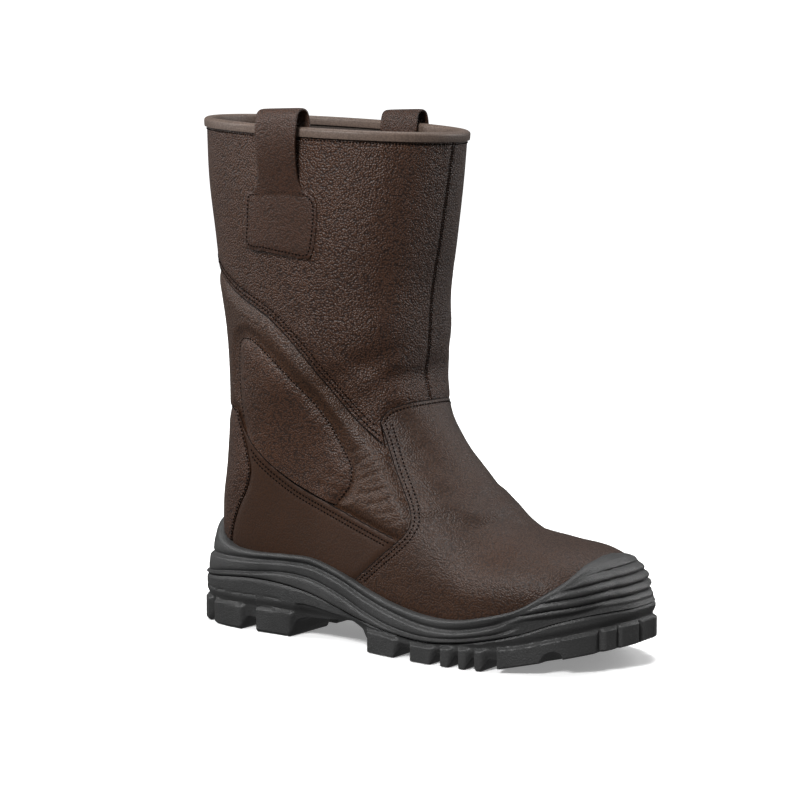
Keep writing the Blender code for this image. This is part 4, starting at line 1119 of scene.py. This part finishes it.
def lugShare(x):
    # 1 on a lug, 0 between two of them
    percent = boot["soleLength"] / 100
    found = np.zeros(np.shape(x))
    for start, end in tread["lugs"]:
        on = ease(-tread["bevel"], tread["bevel"], x - start * percent)
        off = 1 - ease(-tread["endBevel"], tread["bevel"], x - end * percent) if end < 100 else 1.0
        found = np.maximum(found, on * off)
    return np.where(x < tread["lugs"][0][0] * percent, 1.0, found)


def toeSpring(percent):
    return tread["spring"] * np.clip((percent - tread["springFrom"]) / (100 - tread["springFrom"]), 0, 1)


def underLevel(x, lug):
    # level of the tread's underside
    percent = x / boot["soleLength"] * 100
    hollow = np.interp(percent, *np.array(tread["hollow"], float).T)
    heel = tread["heelBevel"] * (1 - ease(0, tread["lugs"][0][0], percent))
    return hollow * (1 - lug) + toeSpring(percent) + heel


def makeOutsole():
    percent = boot["soleLength"] / 100
    along = atTurn(np.linspace(0, math.pi, tread["stations"]))
    path, outward = outlineLoop(along)
    half = len(along)
    x, y = path[:, 0], path[:, 1]
    lug = lugShare(x)
    under = underLevel(x, lug)
    middle, radius = tread["notch"]
    cut = np.sqrt(np.clip(radius ** 2 - (x - middle) ** 2, 0, None)) * (y < 0)
    top = sideLine("split", x) - soleWall["splitGap"]
    height = np.interp(x / percent, *np.array(tread["lugHeight"], float).T)
    slot = sum(bell(np.hypot(x - at[0], y - at[1]), wide) for at, wide in tread["slots"])
    archStart, archEnd = tread["archEnds"]
    arch = ease(*archStart, x / percent) * (1 - ease(*archEnd, x / percent))
    shoulder = np.minimum(toeSpring(x / percent) + height, top - tread["shoulder"])
    topOut, topShare, topInset = tread["topEdge"]
    creaseDepth, creaseAt, creaseWidth = tread["heelCrease"]
    atHeel = x / percent < tread["heelCreaseTo"]
    rings = rimStep(path, outward, soleWall["rim"], 0.0, 0.0)[::-1]
    for share in np.linspace(0, 1, tread["rings"]):
        level = top + (under + cut - top) * share
        over = level - shoulder   # the wall draws in above the lugs, and the lugs stand out again
        out = topOut * ease(0, topShare, share) - topInset
        out = out - creaseDepth * bell((over - creaseAt), creaseWidth) * atHeel
        out = out - tread["stand"] * tread["drawIn"] * ease(*tread["drawInOver"], over)
        out = out + tread["stand"] * lug * ease(*tread["standOver"], over)
        out = out - tread["gapDepth"] * (1 - lug) * ease(*tread["gapOver"], share)
        out = out - tread["slotDepth"] * slot * ease(*tread["slotOver"], over)
        out = out - tread["archDepth"] * arch * ease(*tread["archOver"], share)
        out = out - tread["footBevel"] * ease(*tread["footOver"], share) ** 2
        rings.append(np.column_stack([path + outward * out[:, None], level]))
    points = np.vstack(rings)
    faces = np.vstack([wallFaces(len(rings), 2 * half), ladder(0, half)]).tolist()
    edge = rings[-1]
    outer, inner = edge[:half], edge[half:][::-1]
    first = (len(rings) - 1) * 2 * half
    columns = [np.arange(first, first + half)]
    for share in tread["across"][1:-1]:
        strip = outer + (inner - outer) * share
        strip[:, 2] = under[:half]
        if tread["grooveAt"][0] < share < tread["grooveAt"][1]:
            strip[:, 2] += tread["groove"] * lug[:half]
        columns.append(np.arange(len(points), len(points) + half))
        points = np.vstack([points, strip])
    columns.append(np.arange(first + 2 * half - 1, first + half - 1, -1))
    for a, b in zip(columns, columns[1:]):
        faces += np.stack([a[:-1], a[1:], b[1:], b[:-1]], 1).tolist()
    for end in (0, half - 1):
        faces.append([int(column[end]) for column in columns])
    item = meshObject("outsole_tread", points, faces)
    print("outsole_tread: %d faces" % len(item.data.polygons))
    place(item, finishes["outsole"], "outsole", 35)


# Sewing: thread bumps along the seams, and a dark bead along a panel's edge that paints the shadow in the
# crevice under it
sewing = {
    "pitch": 2.4, "length": 1.75, "thick": 1.0, "stand": 0.12, "facets": 6, "sunk": 0.25, "shortest": 6,
    "rounding": ((-0.3, 0.8), (0.0, 1.0), (0.3, 0.8)),   # share of a stitch's length, of its thickness
    # the painted shadow line along panel edges: its width, depth, place, step, facets and smoothing
    "shadowWidth": 0.85, "shadowDepth": 0.3, "shadowAt": 0.15, "shadowStep": 1.2, "shadowFacets": 8, "shadowSmooth": 3,
    "frontScale": 0.6, "bindingScale": 0.8, "bindingGap": 1.6,
    "clear": 2, "padClear": 3.5, "frontClear": 5,         # rows stop this near another seam or the collar
    "soleClear": 40, "shadowClear": 30, "counterClear": 50,  # and end at these heights behind the sole's wall
    "patchReach": 9,                                      # how far outside the patch its rows are looked for
}


def onGrid(spots, relief):
    # points on the leather, with its outward directions, at fractional grid rows and columns
    row = np.clip(np.floor(spots[:, 0]).astype(int), 0, rowCount - 2)
    column = np.floor(spots[:, 1]).astype(int)
    f, g = (spots[:, 0] - row)[:, None], (spots[:, 1] - column)[:, None]
    face = np.concatenate([grid + normal * relief[..., None], normal], 2)
    near, after = column % around, (column + 1) % around
    mixed = (face[row, near] * (1 - g) + face[row, after] * g) * (1 - f)
    mixed += (face[row + 1, near] * (1 - g) + face[row + 1, after] * g) * f
    return mixed[:, :3], mixed[:, 3:]


def levelLines(field, level, allowed):
    # chains of grid spots along which a field over the leather takes a value
    over = field > level
    across = np.roll(over, -1, 1)
    mixed = (over[:-1] != across[:-1]) | (over[:-1] != over[1:]) | (over[:-1] != across[1:])
    every = allowed & np.roll(allowed, -1, 1)
    spot, links = {}, {}
    for row, column in np.argwhere(mixed & every[:-1] & every[1:]):
        ends = []
        corners = [(row, column), (row, column + 1), (row + 1, column + 1), (row + 1, column)]
        edges = (corners[0:2], corners[1:3], (corners[3], corners[2]), (corners[0], corners[3]))
        for (r1, c1), (r2, c2) in edges:
            a, b = field[r1, c1 % around], field[r2, c2 % around]
            if (a > level) != (b > level):
                f = (level - a) / (b - a)
                key = (r1, c1 % around, r2 - r1)
                spot.setdefault(key, (r1 + (r2 - r1) * f, c1 % around + (c2 - c1) * f))
                ends.append(key)
        if len(ends) == 2:
            links.setdefault(ends[0], []).append(ends[1])
            links.setdefault(ends[1], []).append(ends[0])
    chains, used = [], set()
    for start in sorted(links, key=lambda k: (len(links[k]), k)):
        if start in used:
            continue
        chain = [start]
        used.add(start)
        while True:
            onward = [k for k in links[chain[-1]] if k not in used]
            if not onward:
                break
            chain.append(onward[0])
            used.add(onward[0])
        if len(chain) > 2 and start in links[chain[-1]]:
            chain.append(start)
        chains.append(np.array([spot[k] for k in chain]))
    return chains


def stitchRow(points, away, scale):
    # thread bumps spaced along points that lie on the leather
    run = runOf(points)
    count = int(run[-1] / (sewing["pitch"] * scale))
    length, facets = sewing["length"] * scale, sewing["facets"]
    reach = sewing["pitch"] / 4   # half the span that gives a stitch its direction
    made, faces = [], []
    turns = np.linspace(0, 2 * math.pi, facets, endpoint=False)
    for k in range(count):
        at = (k + 0.5) * run[-1] / count
        onward = atRun(points, run, at + reach) - atRun(points, run, at - reach)
        if np.linalg.norm(onward) < tiny:
            continue
        t = onward / np.linalg.norm(onward)
        n = atRun(away, run, at)
        n -= t * (n @ t)
        n /= np.linalg.norm(n)
        b = np.cross(n, t)
        first = len(made)
        centre = atRun(points, run, at) + n * sewing["stand"]
        made.append(centre - t * length / 2 - n * sewing["sunk"])
        for along, size in sewing["rounding"]:
            for turn in turns:
                r = sewing["thick"] * scale / 2 * size
                made.append(centre + t * along * length + b * r * math.cos(turn) + n * (r * math.sin(turn)))
        end = len(made)
        made.append(centre + t * length / 2 - n * sewing["sunk"])
        for j in range(facets):
            m = (j + 1) % facets
            faces.append((first, first + 1 + m, first + 1 + j))
            for ring in range(first + 1, end - facets, facets):
                faces.append((ring + j, ring + m, ring + facets + m, ring + facets + j))
            faces.append((end, end - facets + j, end - facets + m))
    return made, faces


def sewSeams(name, rowsOfStitches):
    points, faces = [], []
    for row, away, scale in rowsOfStitches:
        made, some = stitchRow(row, away, scale)
        faces += [tuple(len(points) + k for k in face) for face in some]
        points += made
    item = meshObject(name, np.array(points), faces)
    place(item, finishes["thread"], sharp=60)
    print("%s: %d faces" % (name, len(faces)))


def seamShadowBead(name, panel, field, allowed):
    # dark bead along the edge of a panel, painted shadow of the crevice under it
    points, faces = [], []
    facets, radius = sewing["shadowFacets"], sewing["shadowWidth"] / 2
    turns = np.linspace(0, 2 * math.pi, facets, endpoint=False)
    for row, away, _ in seamRows(panel, field, (sewing["shadowAt"],), allowed):
        run = runOf(row)
        at = np.linspace(0, run[-1], max(4, int(run[-1] / sewing["shadowStep"])))
        middle, out = atRun(row, run, at), atRun(away, run, at)
        for _ in range(sewing["shadowSmooth"]):   # takes the grid's steps out of the line
            middle[1:-1] = (middle[:-2] + 2 * middle[1:-1] + middle[2:]) / 4
        t = np.gradient(middle, axis=0)
        t /= np.linalg.norm(t, axis=1, keepdims=True)
        out -= t * (out * t).sum(1, keepdims=True)
        out /= np.linalg.norm(out, axis=1, keepdims=True)
        aside = np.cross(out, t)
        middle -= out * sewing["shadowDepth"]
        first, count = len(points), len(middle)
        for turn in turns:
            points += list(middle + radius * (aside * math.cos(turn) + out * math.sin(turn)))
        for k in range(facets):
            a, b = first + k * count, first + (k + 1) % facets * count
            faces += [(a + j, a + j + 1, b + j + 1, b + j) for j in range(count - 1)]
        faces.append([first + k * count for k in range(facets)])
        faces.append([first + k * count + count - 1 for k in range(facets - 1, -1, -1)])
    item = meshObject(name, np.array(points), faces)
    place(item, finishes["seamShadow"], sharp=60)
    print("%s: %d faces" % (name, len(faces)))


def seamRows(panel, field, levels, allowed, scale=1.0):
    # rows of stitches where a distance over the leather has the given values
    made = []
    for level in levels:
        for spots in levelLines(field, level, allowed):
            points, away = onGrid(spots, reliefs[panel])
            if runOf(points)[-1] > sewing["shortest"]:
                made.append((points, away, scale))
    return made


def makeStitches():
    apart = {name: lineDistance(points) for name, points in seamCurve.items()}
    clear = {name: distance > sewing["clear"] for name, distance in apart.items()}
    fromTop = np.linalg.norm(np.diff(grid, axis=0), axis=2)[::-1].cumsum(0)[::-1]
    fromTop = np.vstack([fromTop, np.zeros((1, around))])
    overSole = flatZ > sewing["soleClear"]

    offVamp = clear["vampTop"] & clear["vampRear"]
    onShaft = insideOf(outlines["shaft"])
    shaftEdge = within(outlines["shaft"], apart["shaft"])
    rowsOf = seamRows("shaft", shaftEdge, shaft["stitches"], offVamp)
    # painted shadow line along the shaft's edge
    seamShadowBead("painted_shadow_line_shaft", "shaft", shaftEdge, offVamp)
    seamAt = shaft["frontStitches"]
    onFront = onShaft & (flatX > shaft["frontFrom"]) & (fromTop > sewing["frontClear"])
    rowsOf += seamRows("shaft", flatY, (-seamAt, seamAt), onFront, sewing["frontScale"])
    underRoll = (binding["leg"] + sewing["bindingGap"],)
    rowsOf += seamRows("shaft", fromTop, underRoll, onShaft, sewing["bindingScale"])
    sewSeams("stitches_shaft", rowsOf)

    vampEdge = within(outlines["vamp"], np.minimum(apart["vampTop"], apart["vampRear"]))
    rowsOf = seamRows("vamp", vampEdge, vamp["stitches"][:1], overSole)
    # painted shadow line along the vamp's edge
    seamShadowBead("painted_shadow_line_vamp", "vamp", vampEdge, flatZ > sewing["shadowClear"])
    rearEdge = within(outlines["vamp"], apart["vampRear"])
    belowTop = overSole & (apart["vampTop"] > vamp["stitches"][1])
    rowsOf += seamRows("vamp", rearEdge, vamp["stitches"][1:], belowTop)
    sewSeams("stitches_vamp", rowsOf)

    onQuarter = clear["counterFront"] & clear["vampRear"]
    quarterEdge = within(outlines["quarter"], apart["quarterTop"])
    rowsOf = seamRows("quarter", quarterEdge, quarter["stitches"], onQuarter)
    # painted shadow line along the quarter's top edge
    seamShadowBead("painted_shadow_line_quarter", "quarter", quarterEdge, onQuarter)
    sewSeams("stitches_quarter", rowsOf)

    counterEdge = within(outlines["counter"], np.minimum(apart["counterFront"], apart["counterTop"]))
    rowsOf = seamRows("counter", counterEdge, counter["stitches"], flatZ > sewing["counterClear"])
    sewSeams("stitches_counter", rowsOf)

    patchEdge = within(patchOutline, lineDistance(patchOutline, closed=True))
    rowsOf = seamRows("patch", patchEdge, (pullLoop["patchStitch"],), patchEdge > -sewing["patchReach"])
    sewSeams("stitches_patch", rowsOf)

    padEdge = within(padOutline, lineDistance(padSeam))
    rowsOf = seamRows("pad", padEdge, pad["stitches"], apart["quarterTop"] > sewing["padClear"])
    sewSeams("stitches_pad", rowsOf)


makeWall()
makeShaft()
makeVamp()
makeQuarters()
makeCounter()
makePads()
makeBinding()
makeLoops()
makeInsole()
makeMidsole()
makeOutsole()
makeStitches()


# Studio: pale floor, lit white cloth round it, two high soft lights, three soft boxes, the photo's camera
studio = {
    "yaw": 34.8, "pitch": 6.0, "distance": 1300.0, "height": 281.65, "target": (150.0, 0.0), "aside": 9.6,
    "focal": 2165.0, "image": 800, "sensor": 36.0,
    "floor": "#fafafa", "floorGlow": 0.25, "floorSize": 12.0, "world": 0.17,
    "suns": [  # name, direction it comes from, strength, softness in degrees, on the floor only
        ("high_light", (-0.2, 0.55, 1.5), 1.0, 32, False), ("floor_light", (-0.35, 0.3, 1.6), 2.8, 24, True)],
    "boxes": [  # name, place and aim in metres, size, watts, share of its gloss
        ("key_box", (0.2, -1.35, 1.25), (0.0, 0.0, 0.15), (0.4, 0.4), 31, 1.0),
        ("right_box", (0.8, 1.15, 0.85), (0.0, 0.0, 0.17), (0.5, 1.2), 11, 0.7),
        ("left_box", (-1.2, -0.5, 0.8), (-0.08, 0.0, 0.2), (0.4, 1.2), 9, 1.0)],
    "cloth": (5.6, 4.0), "clothFolds": 96,   # radius and height in metres, faces round
}


def makeStudio():
    s = studio
    yaw, pitch = math.radians(s["yaw"]), math.radians(s["pitch"])
    eye = Vector((s["target"][0] + s["distance"] * math.sin(yaw) - s["aside"] * math.cos(yaw),
                  s["target"][1] - s["distance"] * math.cos(yaw) - s["aside"] * math.sin(yaw), s["height"]))
    eye -= Vector((*boot["middle"], 0))
    data = bpy.data.cameras.new("photo_camera")
    data.sensor_width = s["sensor"]
    data.lens = s["sensor"] * s["focal"] / s["image"]
    data.clip_end = 50
    camera = bpy.data.objects.new("photo_camera", data)
    bpy.context.scene.collection.objects.link(camera)
    camera.location = eye / 1000
    sight = Vector((-math.sin(yaw) * math.cos(pitch), math.cos(yaw) * math.cos(pitch), -math.sin(pitch)))
    camera.rotation_euler = sight.to_track_quat("-Z", "Y").to_euler()
    bpy.context.scene.camera = camera
    half = s["floorSize"] / 2
    mesh = bpy.data.meshes.new("floor")
    corners = [(-half, -half, 0), (half, -half, 0), (half, half, 0), (-half, half, 0)]
    mesh.from_pydata(corners, [], [(0, 1, 2, 3)])
    floor = bpy.data.objects.new("floor", mesh)
    bpy.context.scene.collection.objects.link(floor)
    material, shader = newMaterial("pale_paper_floor")
    shader.inputs["Base Color"].default_value = linear(s["floor"])
    shader.inputs["Roughness"].default_value = 0.9
    shader.inputs["Specular IOR Level"].default_value = 0.1
    shader.inputs["Emission Color"].default_value = (1, 1, 1, 1)
    shader.inputs["Emission Strength"].default_value = s["floorGlow"]
    mesh.materials.append(material)
    floor.visible_diffuse = floor.visible_glossy = False   # no glare from below
    radius, top = s["cloth"]
    folds = s["clothFolds"]
    turns = np.linspace(0, 2 * math.pi, folds, endpoint=False)
    ring = [(radius * math.cos(a), radius * math.sin(a)) for a in turns]
    mesh = bpy.data.meshes.new("white_cloth")
    mesh.from_pydata([(x, y, 0.0) for x, y in ring] + [(x, y, top) for x, y in ring], [],
                     [(k, (k + 1) % folds, folds + (k + 1) % folds, folds + k) for k in range(folds)])
    cloth = bpy.data.objects.new("white_cloth", mesh)
    bpy.context.scene.collection.objects.link(cloth)
    material, shader = newMaterial("lit_white_cloth")
    shader.inputs["Emission Color"].default_value = (1, 1, 1, 1)
    shader.inputs["Emission Strength"].default_value = 1.0
    mesh.materials.append(material)
    cloth.visible_diffuse = cloth.visible_glossy = cloth.visible_shadow = False
    onFloor = bpy.data.collections.new("floor_only")
    onFloor.objects.link(floor)
    for name, source, strength, softness, floorOnly in s["suns"]:
        lamp = bpy.data.lights.new(name, "SUN")
        lamp.energy, lamp.angle = strength, math.radians(softness)
        item = bpy.data.objects.new(name, lamp)
        item.rotation_euler = (-Vector(source)).to_track_quat("-Z", "Y").to_euler()
        bpy.context.scene.collection.objects.link(item)
        if floorOnly:   # deepens the shadow under the boot
            item.light_linking.receiver_collection = onFloor
    for name, where, aim, size, watts, gloss in s["boxes"]:
        lamp = bpy.data.lights.new(name, "AREA")
        lamp.shape = "RECTANGLE"
        lamp.size, lamp.size_y = size
        lamp.energy, lamp.specular_factor = watts, gloss
        item = bpy.data.objects.new(name, lamp)
        item.location = where
        item.rotation_euler = (Vector(aim) - Vector(where)).to_track_quat("-Z", "Y").to_euler()
        bpy.context.scene.collection.objects.link(item)
    world = bpy.data.worlds.new("white_studio")
    world.use_nodes = True
    world.node_tree.nodes["Background"].inputs["Color"].default_value = (1, 1, 1, 1)
    world.node_tree.nodes["Background"].inputs["Strength"].default_value = s["world"]
    bpy.context.scene.world = world
    bpy.context.scene.view_settings.view_transform = "Standard"


makeStudio()
print("studio made")
